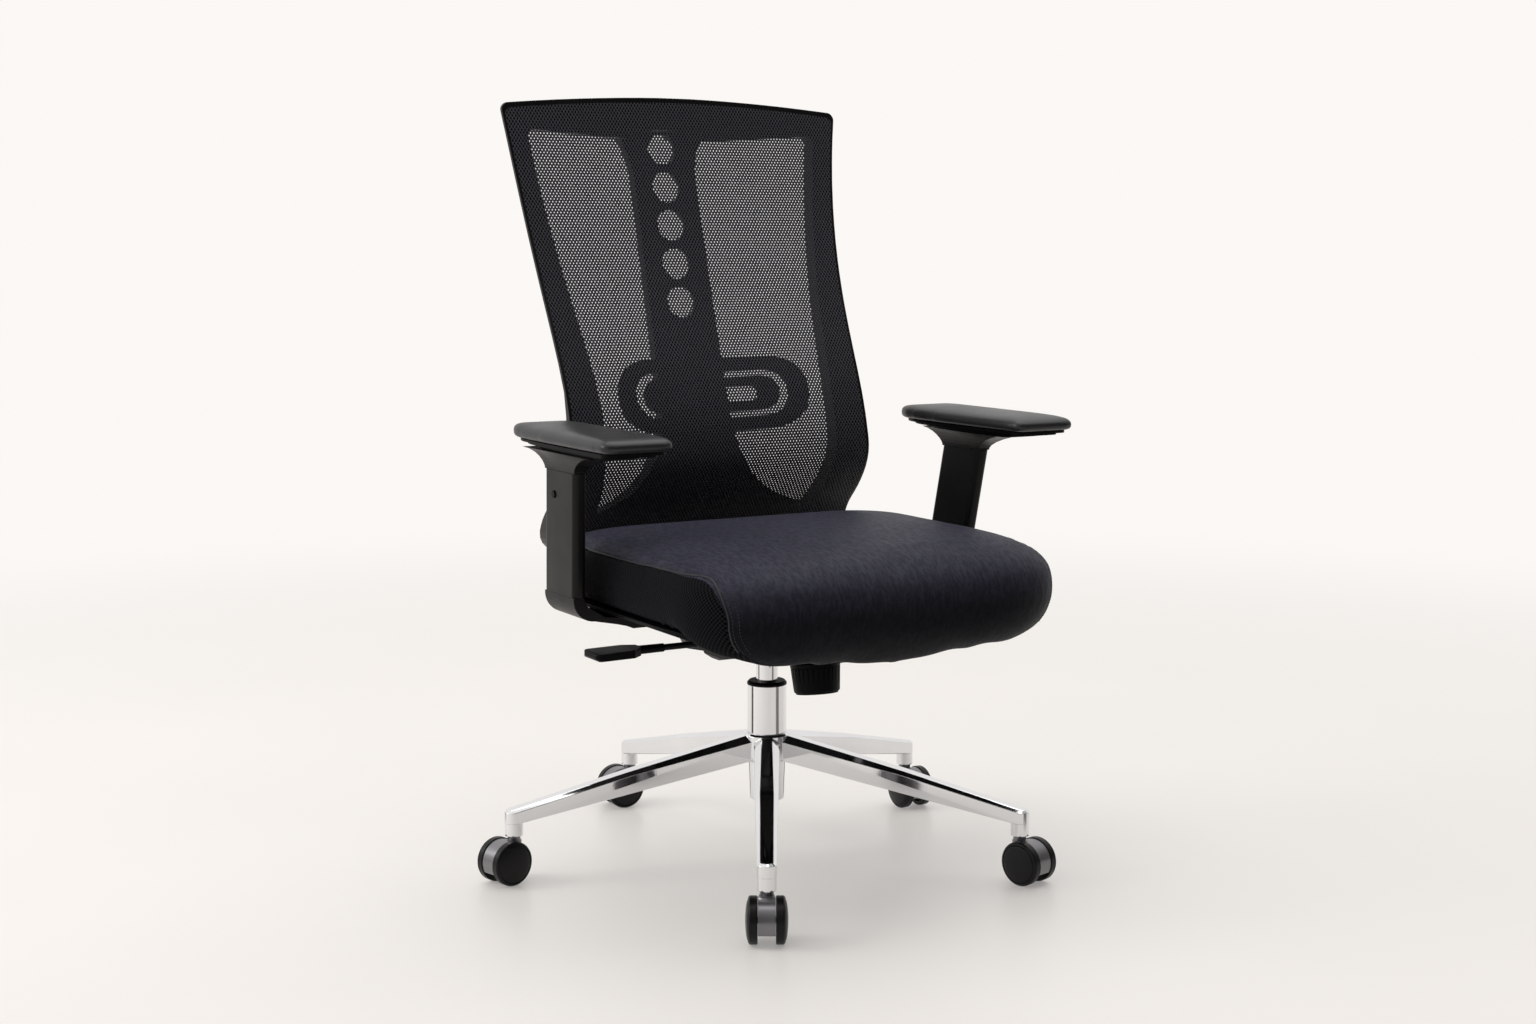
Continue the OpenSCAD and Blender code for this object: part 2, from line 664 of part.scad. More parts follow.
// Level outlines of the cushion: height above the shell's underside, then how far the side,
// the front and the rear stand in from the widest outline
cushion_levels = [[-29, 168, 61, 388], [-17, 92, 42, 328], [-4, 43, 28, 218], [10, 12, 18, 18],
    [23, 2.5, 6, 6], [39, 0, 0.5, 1], [55, 0.5, 3, 2], [68, 4, 10, 9], [79, 13, 22, 24], [89, 32, 43, 66],
    [97, 61, 81, 120], [seat_top - seat_z - 1, 120, 160, 168], [seat_top - seat_z, 160, 200, 200]];

module seat_cushion() {
    under = pan_t + soft_gap;
    color("#191a22") difference() {
        hull() for (q = cushion_levels) translate([0, 0, seat_z + q[0] - 0.05]) linear_extrude(0.1)
            polygon(whole(seat_half(seat_w/2 - q[1], -seat_front + q[2], seat_rear - q[3],
                min(corner_x, seat_w/2 - q[1] - 5),
                min(corner_y, (seat_front + seat_rear - q[2] - q[3])*0.42))));
        across(seat_w + 20) polygon(concat([[seat_rear + 20, seat_z + 5 + under]], pan_line(under),
            [[pan_nose - soft_gap, seat_z - 27 + under], [pan_nose - soft_gap, seat_z - 80],
             [seat_rear + 20, seat_z - 80]]));
    }
}

// ---------- arms ----------
// Each arm is drawn for the sitter's left (+x) and mirrored for the right.

foot_t = 12;
foot_in = pan_flat - 51;
foot_y = 0.5;
foot_bolt_at = [[foot_in + 18, foot_y - 26], [foot_in + 18, foot_y + 26], [foot_in + 36, foot_y]];
post_forward = 9.5;                       // forward lean of a post
bend_r = 27;
bend_in_r = 12;
sleeve_top_z = 519;
pad_y = -62;
post_base = [arm_spacing/2 - 1.5, foot_y, 375];

// The leaning frame of a post: its own z runs along the post
module post_frame() { translate(post_base) rotate([post_forward, post_lean, 0]) children(); }

sleeve_len = (sleeve_top_z - post_base[2])/(cos(post_forward)*cos(post_lean));
slider_t = post_t - 6;
slider_d = post_d - 14;
sleeve_floor = 4;

button_z = sleeve_len - 32;
button_d = 9;
button_y = 15;
button_gap = 1.7;                         // room to press in front of the slider

module arm_bracket() {
    color(charcoal) difference() {
        union() {
            post_frame() translate([0, 0, -6]) linear_extrude(sleeve_len + 20)
                rounded_rect(post_t, post_d, post_t/2 - 2);
            foot();
        }
        up_z(sleeve_top_z, sleeve_top_z + 40) translate([post_base[0] - 40, -90]) square([90, 130]);
        post_frame() translate([0, 0, sleeve_floor]) linear_extrude(sleeve_len + 20)
            rounded_rect(slider_t + 2*run_gap, slider_d + 2*run_gap, slider_t/2 - 1);
        post_frame() translate([0, button_y, button_z]) rotate([0, 90, 0])
            cylinder(d = button_d + 2*run_gap, h = post_t);
        for (p = foot_bolt_at) translate([p[0], p[1], seat_z - foot_t - 20])
            cylinder(d = seat_bolt_d + 0.6, h = 60);
    }
}

// Quarter bend from the post to the foot under the shell, drawn from the front
bend_c = [post_base[0] + post_t/2 - bend_r, seat_z + 1 + bend_r];

module foot() {
    rise = seat_gap + 0.8;
    along_y(foot_y - post_d/2, foot_y + post_d/2) polygon(concat(
        arc(bend_c, bend_r, 5, -90, 14),
        [[pan_flat + 31, seat_z - 5], [pan_flat + 15, seat_z - foot_t + 3], [pan_flat + 9, seat_z - foot_t],
         [foot_in + 6, seat_z - foot_t], [foot_in, seat_z - foot_t + 4], [foot_in, seat_z],
         [pan_flat, seat_z], [pan_w - 10, seat_z + pan_rise - rise], [pan_w + 6, seat_z + pan_rise + 1]],
        arc(bend_c, bend_in_r, -66, 5, 7)));
}

module arm_button() {
    color(black) post_frame() translate([slider_t/2 + button_gap, button_y, button_z]) rotate([0, 90, 0])
        cylinder(d = button_d, h = (post_t - slider_t)/2 - button_gap + 1.45);
}

turn_z = pad_top - pad_t - 9.5;          // top face of the funnel
turn_t = 3.2;
tray_t = 6;
post_top = [arm_spacing/2, pad_y, turn_z];
boss_d = 20;

// Side and front views of the funnel that carries the pad
module funnel() {
    half_d = post_d/2;
    half_t = post_t/2;
    cx = post_base[0] + (sleeve_top_z - post_base[2])*tan(post_lean);
    cy = foot_y - (sleeve_top_z - post_base[2])*tan(post_forward)/cos(post_lean);
    z0 = sleeve_top_z + 0.3;
    intersection() {
        across(2*arm_spacing) polygon(concat(
            [[cy - half_d, z0], [cy + half_d, z0]],
            bezier([[cy + half_d, z0 + 2], [cy + half_d, z0 + 8], [cy + half_d + 6, turn_z - 4],
                [cy + half_d + 20, turn_z]], 6),
            bezier([[cy - half_d - 84, turn_z], [cy - half_d - 34, turn_z - 3], [cy - half_d - 2, z0 + 9],
                [cy - half_d, z0 + 2]], 6)));
        along_y(-200, 100) polygon(concat(
            [[cx - half_t, z0], [cx + half_t, z0]],
            bezier([[cx + half_t, z0 + 2], [cx + half_t + 1, z0 + 7], [cx + half_t + 6, turn_z - 3],
                [cx + half_t + 20, turn_z]], 6),
            bezier([[cx - half_t - 19, turn_z], [cx - half_t - 10, turn_z - 3], [cx - half_t - 1, z0 + 7],
                [cx - half_t, z0 + 2]], 6)));
    }
}

module arm_post() {
    color(charcoal) {
        post_frame() translate([0, 0, sleeve_floor + 1]) linear_extrude(sleeve_len + 12 - sleeve_floor)
            rounded_rect(slider_t, slider_d, slider_t/2 - 1);
        funnel();
        translate(post_top) cylinder(d = boss_d, h = turn_t + 3);
    }
}

// Plan of the pad: straight front edge with tight corners, full sides and a blunt rounded rear
module pad_plan(l, w) {
    front = -l/2;
    rear = l/2;
    half = concat([[0, front], [w/2 - 15, front + 0.5]], arc([w/2 - 13, front + 13], 12, -70, 0, 5),
        bezier([[w/2 - 1, front + 13], [w/2 + 0.6, front + 90], [w/2 + 1, rear - 110],
            [w/2 - 4, rear - 44]], 7, 1),
        bezier([[w/2 - 4, rear - 44], [w/2 - 8, rear - 16], [w/2 - 20, rear - 2], [0, rear]], 7, 1));
    polygon(whole(half));
}

module arm_turntable() {
    color(black) translate(post_top) difference() {
        linear_extrude(turn_t) pad_plan(pad_l - 96, pad_w - 34);
        translate([0, 0, -1]) cylinder(d = boss_d + 2*run_gap, h = turn_t + 2);
    }
}

slide_gap = 0.2;
pad_slide = 20;

module arm_tray() {
    z0 = turn_t + slide_gap;
    color(charcoal) translate(post_top) difference() {
        union() {
            translate([0, 0, z0]) linear_extrude(3) pad_plan(pad_l - 40, pad_w - 22);
            translate([0, 0, z0 + 3]) linear_extrude(tray_t - 3) pad_plan(pad_l - 20, pad_w - 12);
        }
        linear_extrude(turn_t + 4) union() {
            square([boss_d + 1.2, 2*pad_slide + 2], center = true);
            for (s = [-1, 1]) translate([0, s*(pad_slide + 1)]) circle(d = boss_d + 1.2);
        }
    }
}

module arm_pad() {
    z0 = turn_t + slide_gap + tray_t + 0.1;
    top = pad_top - post_top[2];
    shoulder = top - 6.5;
    color(charcoal) translate(post_top) intersection() {
        translate([0, 0, z0]) linear_extrude(top - z0) pad_plan(pad_l, pad_w);
        along_y(-pad_l, pad_l) polygon(whole(concat(
            [[0, z0 - 1], [pad_w/2 - 5, z0 - 1], [pad_w/2 + 2, z0 + 5]],
            bezier([[pad_w/2 + 1.5, z0 + 5], [pad_w/2 - 0.5, shoulder - 1], [pad_w/2 - 5, shoulder + 1.6],
                [pad_w/2 - 13, shoulder + 3.4]], 6),
            bezier([[pad_w/2 - 13, shoulder + 3.4], [pad_w/2 - 22, shoulder + 5.4], [10, top],
                [0, top]], 4, 1))));
        across(2*pad_w) polygon(concat(
            [[-pad_l/2 - 1, z0 + 5], [-pad_l/2 + 6, z0 - 1], [pad_l/2 - 12, z0 - 1], [pad_l/2 + 1, z0 + 6]],
            bezier([[pad_l/2 + 0.5, z0 + 6], [pad_l/2 - 1, shoulder - 2], [pad_l/2 - 10, shoulder + 1],
                [pad_l/2 - 26, shoulder + 3]], 6),
            bezier([[pad_l/2 - 26, shoulder + 3], [pad_l/2 - 60, top], [40, top], [0, top]], 4, 1),
            bezier([[0, top], [-40, top], [-pad_l/2 + 56, top], [-pad_l/2 + 24, shoulder + 3.4]], 4, 1),
            bezier([[-pad_l/2 + 24, shoulder + 3.4], [-pad_l/2 + 8, shoulder + 1.4], [-pad_l/2, shoulder - 1],
                [-pad_l/2 - 0.5, z0 + 6]], 6, 1)));
    }
}

// ---------- back ----------

back_foot = [176, 388];
// Forward face of the mesh, seen from the side
mesh_line = concat([back_foot + [2, -20]],
    bezier([back_foot, [175, 406], [171, 424], [154, 440]], 6),
    bezier([[154, 440], [133, 460], [lumbar_y, lumbar_z - 26], [lumbar_y, lumbar_z]], 8, 1),
    bezier([[lumbar_y, lumbar_z], [lumbar_y, lumbar_z + back_rise*0.246],
        [back_top_y - 38.7, back_top - back_rise*0.588], [back_top_y, back_top + 1]], 22, 1),
    [[back_top_y + 4, back_top + 26]]);
function mesh_y(z) = lookup(z, [for (p = mesh_line) [p[1], p[0]]]);

// Half of the back's outline, from the bottom up; the top edge is slightly crowned and
// inset draws the same shape smaller
crown = 12;
function outline_half(inset = 0) = concat(
    [[0, back_foot[1] + inset], [186 - inset, back_foot[1] + inset]],
    bezier([[186 - inset, back_foot[1] + inset], [210 - inset, back_foot[1] + inset],
        [222 - inset, back_foot[1] + 8 + inset], [223.5 - inset, back_foot[1] + 28]], 6, 1),
    bezier([[223.5 - inset, back_foot[1] + 28], [224 - inset, back_foot[1] + 66],
        [223 - inset, lumbar_z - 25], [222 - inset, lumbar_z + 5]], 5, 1),
    bezier([[222 - inset, lumbar_z + 5], [213 - inset, lumbar_z + 85],
        [back_w/2 - 26 - inset, back_top - 167], [back_w/2 - 1.5 - inset, back_top - 12 - inset]], 12, 1),
    arc([back_w/2 - 12 - inset, back_top - 11 - 1.6*inset], 11, 15, 75, 4),
    bezier([[back_w/2 - 14 - inset, back_top - 1.6*inset], [back_w/2 - 100, back_top + 8 - 1.6*inset],
        [60, back_top + crown - 1.6*inset], [0, back_top + crown - 1.6*inset]], 8, 1));

function whole(half) = concat(half, mirrored(half));

// Depth of the frame behind the mesh, greater at the foot
function depth_at(z) = frame_t + lookup(z, [[back_foot[1], 5], [450, 5], [560, 0]]);

module skin_band(from, to) {
    polygon(concat(shifted(mesh_line, [from, 0]), backwards(shifted(mesh_line, [to, 0]))));
}

mesh_inset = 4;

module back_mesh() {
    color("#202126") intersection() {
        across(back_w + 20) skin_band(0, mesh_t);
        along_y(60, 320) polygon(whole(outline_half(mesh_inset)));
    }
}

spine_foot = [183, 400];
spine_waist = [179, 505];
spine_start = [187, 555];               // start of the spine's straight rise
spine_top = spine_start + [spine_slope, 1]*(back_top - 61 - spine_start[1]);
function on_spine(z) = spine_start[0] + spine_slope*(z - spine_start[1]);

// Forward face of the spine: a foot that leans forward, then a straight rise that leans back
spine_line = concat(
    [spine_foot + [0, -12]], [spine_foot],
    bezier([spine_waist, spine_waist + [-1, 17], spine_start - 23*[spine_slope, 1], spine_start], 8),
    bezier([spine_top, spine_top + [7, 26], spine_top + [3, 36], [back_top_y + 16, back_top - 12]], 6));

ring_in_top = back_top - 34;
spine_half = spine_w/2;
lobe_z = lumbar_z - 83;                 // lowest point of a window
lobe_x = 162;

// One window in the ring, from the tip of the lower lobe round to the spine
ring_opening = concat(
    [[0, lumbar_z - 60]],
    bezier([[30, lumbar_z - 74], [80, lobe_z - 1], [120, lobe_z - 2], [lobe_x, lobe_z]], 5),
    bezier([[lobe_x + 2, lobe_z + 2], [167, lumbar_z - 50], [176, lumbar_z - 10],
        [172, lumbar_z + 40]], 6),
    bezier([[172, lumbar_z + 40], [170, lumbar_z + 120], [back_w/2 - 56, back_top - 200],
        [back_w/2 - 36, ring_in_top - 8]], 12, 1),
    [[back_w/2 - 41, ring_in_top - 1], [back_w/2 - 46, ring_in_top]],
    [[spine_half + 24, ring_in_top - 9], [spine_half + 6, ring_in_top - 9],
     [spine_half - 2, ring_in_top + 2], [0, ring_in_top + 4]]);

// Upper edge of the spine's flared foot, from its outer end up to the spine's side
fishtail = concat(
    bezier([[lobe_x - 4, lobe_z + 3], [118, lumbar_z - 70], [88, lumbar_z - 54],
        [70, lumbar_z - 20]], 8, 1),
    bezier([[70, lumbar_z - 20], [60, lumbar_z - 2], [spine_half + 6, lumbar_z + 14],
        [spine_half + 5.5, lumbar_z + 44]], 5, 1));

// The spine with its flared foot
spine_outline = concat(
    [[0, back_foot[1] + 2], [165, back_foot[1] + 4], [172, lobe_z + 3], [lobe_x - 4, lobe_z + 3]],
    fishtail,
    [[spine_half + 2.5, lumbar_z + 160], [spine_half, ring_in_top - 60]],
    bezier([[spine_half, ring_in_top - 60], [spine_half + 3, ring_in_top - 30],
        [spine_half + 8, ring_in_top - 12], [spine_half + 26, ring_in_top + 4]], 5, 1),
    [[spine_half + 26, back_top - 8], [0, back_top - 8]]);

hole_top_z = back_top - 54;
holes = 5;
function hole_z(i) = hole_top_z - i*spine_hole_pitch;

// Middle of the lumbar support's forward face: its ends stand just behind the mesh
lumbar_bow_r = 560;
lumbar_bow = lumbar_bow_r - sqrt(pow(lumbar_bow_r, 2) - pow(lumbar_w/2, 2));
lumbar_gap = 6.5;
lumbar_mid = lumbar_z + back_rise*0.162;
lumbar_at = [mesh_y(lumbar_mid) + mesh_t + lumbar_bow + lumbar_gap, lumbar_mid];
spine_lean = atan(spine_slope);
lumbar_reach = (on_spine(lumbar_mid) - lumbar_at[0])*cos(spine_lean);

// Slot for the lumbar carriage's tongue
slot_half = 34;
slot_w = 12;
slot_z = lumbar_mid - (lumbar_reach + spine_t*cos(spine_lean)/2)*sin(spine_lean);

module spine_openings() {
    for (i = [0 : holes - 1]) translate([0, 400, hole_z(i)])
        rotate([90, 0, 0]) cylinder(d = spine_hole_d, h = 400);
    along_y(100, 300) {
        translate([0, slot_z]) square([slot_w, 2*slot_half], center = true);
        for (s = [-1, 1]) translate([0, slot_z + s*slot_half]) circle(d = slot_w);
    }
}

// The frame's flanks stand square near the front and draw in towards the rear; this prism
// carries one flank, and its depth behind the mesh shrinks from the foot upwards
flank = 27;
function flank_start(z) = lookup(z, [[back_foot[1], 40], [450, 34], [520, 14], [600, 3], [1000, 3]]);

module flank_prism(side) {
    outline = [for (p = outline_half()) [p[0] == 0 ? 0 : cos(flank)*(p[0]
        + tan(flank)*(mesh_y(p[1]) + mesh_t + flank_start(p[1]))), p[1]]];
    wide = concat([[-400, outline[0][1]]], [for (p = outline) if (p[0] > 0) p], [[-400, back_top + crown]]);
    mirror([side, 0, 0]) rotate([0, 0, flank]) along_y(-200, 500) polygon(wide);
}

module ring() {
    difference() {
        intersection() {
            across(back_w + 20) polygon(concat(mesh_line,
                [for (p = backwards(mesh_line)) p + [mesh_t + depth_at(p[1]), 0]]));
            along_y(60, 320) difference() {
                polygon(whole(outline_half()));
                polygon(whole(ring_opening));
            }
            flank_prism(0);
            flank_prism(1);
        }
        across(bar_w + 4) polygon([[bar_face(400), 380], [400, 380], [400, bar_top + 3],
            [bar_face(bar_top + 3), bar_top + 3], [bar_face(400), 400]]);
        intersection() {
            across(back_w + 20) skin_band(-5, mesh_t);
            along_y(60, 320) polygon(whole(outline_half(mesh_inset)));
        }
    }
}

spine_plate = 6;                        // thickness between the spine's flanges
flange_w = 7;
pocket_low = lumbar_z + 135;
pocket_high = back_top - 41;

// A piece of the spine's rear, between two depths behind its forward face
module behind_spine(from, to, low, high) {
    across(400) polygon([[on_spine(low) + from, low], [on_spine(high) + from, high],
        [on_spine(high) + to, high], [on_spine(low) + to, low]]);
}

// Hollow in the spine's rear that leaves a plate, two flanges and a rib between each pair of holes
module spine_pocket() {
    half = spine_half - flange_w;
    difference() {
        intersection() {
            behind_spine(spine_plate, spine_t + 20, pocket_low, pocket_high);
            along_y(100, 400) polygon([[-half, pocket_high], [half, pocket_high],
                [half + 2, pocket_low], [-half - 2, pocket_low]]);
        }
        for (i = [0 : holes - 2]) translate([-spine_half, 0, hole_z(i) - spine_hole_pitch/2 - 1.5])
            cube([spine_w, 400, 3]);
    }
}

// Rim along the rear of the flared foot
module fishtail_rim() {
    at_sides() intersection() {
        across(400) polygon(concat(shifted(spine_line, [spine_t - 1, 0]),
            backwards(shifted(spine_line, [spine_t + 9, 0]))));
        along_y(100, 320) polygon(concat(fishtail, backwards(shifted(fishtail, [-7, -6]))));
    }
}

module spine() {
    difference() {
        intersection() {
            across(400) polygon(concat(spine_line, backwards(shifted(spine_line, [spine_t, 0]))));
            along_y(100, 320) polygon(whole(spine_outline));
        }
        spine_pocket();
    }
    fishtail_rim();
}

module back_frame() {
    color(black) difference() {
        union() { ring(); spine(); }
        spine_openings();
        for (p = back_bolt_at) translate([p[0], bar_face(p[1]) - 11, p[1]]) rotate([-90, 0, 0])
            cylinder(d = seat_bolt_d + 2*seat_gap, h = 40);
    }
}

// ---------- lumbar support ----------

lumbar_t = 5;

module lumbar_frame() { translate([0, lumbar_at[0], lumbar_at[1]]) rotate([-spine_lean, 0, 0]) children(); }

// A flat loop with long rounded ends
module stadium(w, h) {
    n = 10;
    polygon(whole(concat([[0, -h/2], [w/2 - h*0.62, -h/2]],
        bezier([[w/2 - h*0.62, -h/2], [w/2 - h*0.2, -h/2], [w/2, -h*0.3], [w/2, 0]], n, 1),
        bezier([[w/2, 0], [w/2, h*0.3], [w/2 - h*0.2, h/2], [w/2 - h*0.62, h/2]], n, 1), [[0, h/2]])));
}

module lumbar_pad() {
    color(black) lumbar_frame() intersection() {
        translate([0, -lumbar_bow_r, -lumbar_h]) difference() {
            cylinder(r = lumbar_bow_r + lumbar_t, h = 2*lumbar_h, $fn = 200);
            translate([0, 0, -1]) cylinder(r = lumbar_bow_r, h = 2*lumbar_h + 2, $fn = 200);
        }
        along_y(-60, 20) {
            difference() { stadium(lumbar_w, lumbar_h); stadium(lumbar_w - 54, lumbar_h - 36); }
            difference() { stadium(lumbar_w - 82, lumbar_h - 52); stadium(lumbar_w - 140, lumbar_h - 78); }
            for (s = [-1, 1]) translate([s*16, 0]) square([14, lumbar_h - 4], center = true);
        }
    }
}

carriage_gap = 0.3;

module lumbar_carriage() {
    front = lumbar_t + 0.1;
    at_spine = lumbar_reach - carriage_gap;
    behind = at_spine + spine_t*cos(spine_lean) + 2*carriage_gap;
    color(charcoal) lumbar_frame() {
        along_y(front, at_spine) difference() {
            square([50, 26], center = true);
            for (s = [-1, 1]) translate([s*12, 0]) square([14, 14], center = true);
        }
        along_y(at_spine - 1, behind + 1) square([slot_w - 1, 20], center = true);
        along_y(behind, behind + 7) stadium(64, 26);
    }
}

// ---------- back bar ----------

// Rear face of the spine's foot, on which the bar is bolted
function bar_face(z) = spine_foot[0] + spine_t
    + (spine_waist[0] - spine_foot[0])*(z - spine_foot[1])/(spine_waist[1] - spine_foot[1]);

bar_w = 78;
bar_low = 266;
bar_high = 289;
bar_top = 500;
bar_t = 13;
bar_bolt_x = 26;
bar_bolt_z = [424, 482];
back_bolt_at = [for (x = [-bar_bolt_x, bar_bolt_x], z = bar_bolt_z) [x, z]];
bar_bend_y = 168;
bar_bend_r = 50;
bar_eye_r = 15;
bar_slot_half = 37;
bar_slot_end = 132;

// Rear face of the bar's upright, which thins towards its top, and the spot face under a bolt head
function bar_rear(z) = bar_face(z) + lookup(z, [[420, 20], [bar_top - 6, bar_t]]);
function head_y(z) = bar_rear(z + 6);

module bar_side() {
    corner = [bar_bend_y, bar_low + bar_bend_r];
    polygon(concat(
        [[70, bar_low + 4], [84, bar_low]],
        arc(corner, bar_bend_r, -90, 0, 12),
        [[bar_rear(420), 420], [bar_rear(bar_top - 6), bar_top - 6],
         [bar_face(bar_top) + bar_t - 5, bar_top],
         [bar_face(bar_top), bar_top], [bar_face(400), 400], [bar_face(400), back_foot[1] - 2]],
        arc(corner, bar_bend_r - (bar_high - bar_low), 0, -90, 8),
        [[70, bar_high + 2]]));
}

module bar_plan() {
    outer = mech_w/2 + cheek_gap + cheek_t;
    difference() {
        polygon(whole([[0, 70], [outer, 70], [outer, 92], [outer - 4, 104], [bar_w/2 + 4, 158],
            [bar_w/2, 176], [bar_w/2, 240], [0, 240]]));
        translate([-bar_slot_half, 60]) square([2*bar_slot_half, bar_slot_end - 60]);
        translate([-mech_w/2 - cheek_gap, 60]) square([mech_w + 2*cheek_gap, 18]);
    }
}

module bar_cheeks() {
    for (s = [-1, 1]) translate([s*(mech_w/2 + cheek_gap + cheek_t/2), 0, 0]) across(cheek_t) {
        translate(main_pivot) circle(bar_eye_r);
        polygon([[main_pivot[0] - 4, main_pivot[1] - bar_eye_r + 0.6], [84, bar_low], [84, bar_high + 2],
            [main_pivot[0] - 4, main_pivot[1] + bar_eye_r - 0.6]]);
    }
}

module back_bar() {
    color(black) difference() {
        union() {
            intersection() {
                across(200) bar_side();
                up_z(200, bar_top + 10) bar_plan();
            }
            bar_cheeks();
        }
        translate([0, main_pivot[0], main_pivot[1]]) bar_x(main_axle_d + 2*run_gap, 200);
        translate([0, link_pivot[0], link_pivot[1]]) bar_x(link_pin_d + 2*seat_gap, 106);
        for (s = [-1, 1]) along_y(bar_face(405), 260) translate([s*15, 395]) rounded_rect(18, 110, 6);
        for (p = back_bolt_at) {
            translate([p[0], 100, p[1]]) rotate([-90, 0, 0]) cylinder(d = seat_bolt_d + 0.6, h = 200);
            translate([p[0], head_y(p[1]), p[1]]) rotate([-90, 0, 0]) cylinder(d = 13, h = 40);
        }
    }
}

module link_pin() {
    color(steel) translate([0, link_pivot[0], link_pivot[1]]) bar_x(link_pin_d, 104);
}

module back_bolts() {
    color(steel) for (p = back_bolt_at) {
        y0 = bar_face(p[1]) - 10;
        translate([p[0], y0, p[1]]) rotate([-90, 0, 0])
            cylinder(d = seat_bolt_d, h = head_y(p[1]) + 1 - y0);
        translate([p[0], head_y(p[1]), p[1]]) rotate([-90, 0, 0]) cylinder(d = 11, h = 4);
    }
}

// ---------- casters ----------

// Direction in which each caster trails
trail_dir = [-120, -75, -90, -180, -166];
wheel_r = wheel_d/2;
axle_z = wheel_r;
hood_r = wheel_r - 1.2;
collar_z = socket_z - 0.3;
wheel_in = hood_w/2 + 0.4;

module caster_place(i) {
    rotate(leg_first + 72*i) translate([stem_circle, 0, 0]) rotate(-leg_first - 72*i)
        rotate(trail_dir[i]) children();
}

// Hood, central web and stem boss of a caster; it trails along +x
module caster_housing(i) {
    web = 7;
    color(charcoal) caster_place(i) difference() {
        union() {
            rotate([90, 0, 0]) linear_extrude(hood_w, center = true) intersection() {
                translate([trail, axle_z]) circle(hood_r);
                polygon([[-20, axle_z + 2], [-20, 60], [trail + 50, 60], [trail + 50, 16], [trail + 4, 16],
                    [trail - 8, 14], [trail - 15, axle_z - 5]]);
            }
            translate([0, 0, axle_z + 2]) cylinder(r = 9.2, h = 22);
            translate([0, 0, axle_z + 10]) cylinder(r = 8, h = collar_z - axle_z - 10);
        }
        for (s = [-1, 1]) translate([trail, s*(web/2 + hood_w/2), axle_z]) rotate([90, 0, 0])
            difference() {
                cylinder(r = hood_r - 3, h = hood_w, center = true);
                cylinder(r = axle_d/2 + 3.5, h = hood_w + 1, center = true);
                translate([-trail - 11, 8, -hood_w]) cube([22, 40, 2*hood_w]);
            }
        translate([0, 0, axle_z + 8]) cylinder(d = stem_d + 2*seat_gap, h = 40);
        translate([trail, 0, axle_z]) rotate([90, 0, 0])
            cylinder(d = axle_d + 2*seat_gap, h = hood_w + 2, center = true);
    }
}

axle_reach = 8;

module caster_pins(i) {
    color(steel) caster_place(i) {
        translate([0, 0, axle_z + 9]) cylinder(d = stem_d, h = socket_z + socket_depth - axle_z - 10);
        translate([trail, 0, axle_z]) rotate([90, 0, 0])
            cylinder(d = axle_d, h = 2*(wheel_in + axle_reach), center = true);
    }
}

// Half of a twin wheel: flat tread, domed face with a ring groove, hollow towards the hood
module wheel(i, side) {
    w = caster_w/2 - wheel_in;
    tread = w*0.6;
    groove = wheel_r*0.85;
    color(black) caster_place(i) translate([trail, 0, axle_z]) rotate([-90*side, 0, 0])
        translate([0, 0, wheel_in]) difference() {
            rotate_extrude() polygon(concat(
                [[0, 0], [wheel_r - 1, 0], [wheel_r, 1], [wheel_r, tread]],
                bezier([[wheel_r, tread], [wheel_r - 0.2, tread + 1], [wheel_r - 1.6, tread + 2],
                    [groove + 1.2, tread + 2.6]], 5, 1),
                [[groove + 0.7, tread + 1.8], [groove - 0.2, tread + 2], [groove - 0.8, tread + 3]],
                bezier([[groove - 0.8, tread + 3], [groove*0.8, w - 0.9], [groove*0.35, w], [0, w]], 8, 1)));
            translate([0, 0, -1]) difference() {
                cylinder(r = wheel_r - 5, h = 6);
                cylinder(r = axle_d/2 + 3.5, h = 7);
            }
            translate([0, 0, -1]) cylinder(d = axle_d + 2*run_gap, h = axle_reach + 1.5);
        }
}

star_base();
gas_cylinder();
guide_sleeve();
thrust_bearing();
piston_rod();
rod_clip();
lift_cylinder();
valve_pin();
mechanism_housing();
main_axle();
front_pivot_pin();
torsion_springs();
tension_bolt();
tension_knob();
lever_bush();
lever_rod();
lever_paddle();
seat_plate();
seat_bolts();
seat_pan();
seat_cushion();
arm_bracket();  // arm_bracket_left
mirror([1, 0, 0]) arm_bracket();  // arm_bracket_right
arm_button();  // arm_button_left
mirror([1, 0, 0]) arm_button();  // arm_button_right
arm_post();  // arm_post_left
mirror([1, 0, 0]) arm_post();  // arm_post_right
arm_turntable();  // arm_turntable_left
mirror([1, 0, 0]) arm_turntable();  // arm_turntable_right
arm_tray();  // arm_tray_left
mirror([1, 0, 0]) arm_tray();  // arm_tray_right
arm_pad();  // arm_pad_left
mirror([1, 0, 0]) arm_pad();  // arm_pad_right
back_bar();
link_pin();
back_bolts();
back_frame();
back_mesh();
lumbar_pad();
lumbar_carriage();
caster_housing(0);  // caster_housing_1
caster_pins(0);  // caster_pins_1
wheel(0, 1);  // wheel_1_left
wheel(0, -1);  // wheel_1_right
caster_housing(1);  // caster_housing_2
caster_pins(1);  // caster_pins_2
wheel(1, 1);  // wheel_2_left
wheel(1, -1);  // wheel_2_right
caster_housing(2);  // caster_housing_3
caster_pins(2);  // caster_pins_3
wheel(2, 1);  // wheel_3_left
wheel(2, -1);  // wheel_3_right
caster_housing(3);  // caster_housing_4
caster_pins(3);  // caster_pins_4
wheel(3, 1);  // wheel_4_left
wheel(3, -1);  // wheel_4_right
caster_housing(4);  // caster_housing_5
caster_pins(4);  // caster_pins_5
wheel(4, 1);  // wheel_5_left
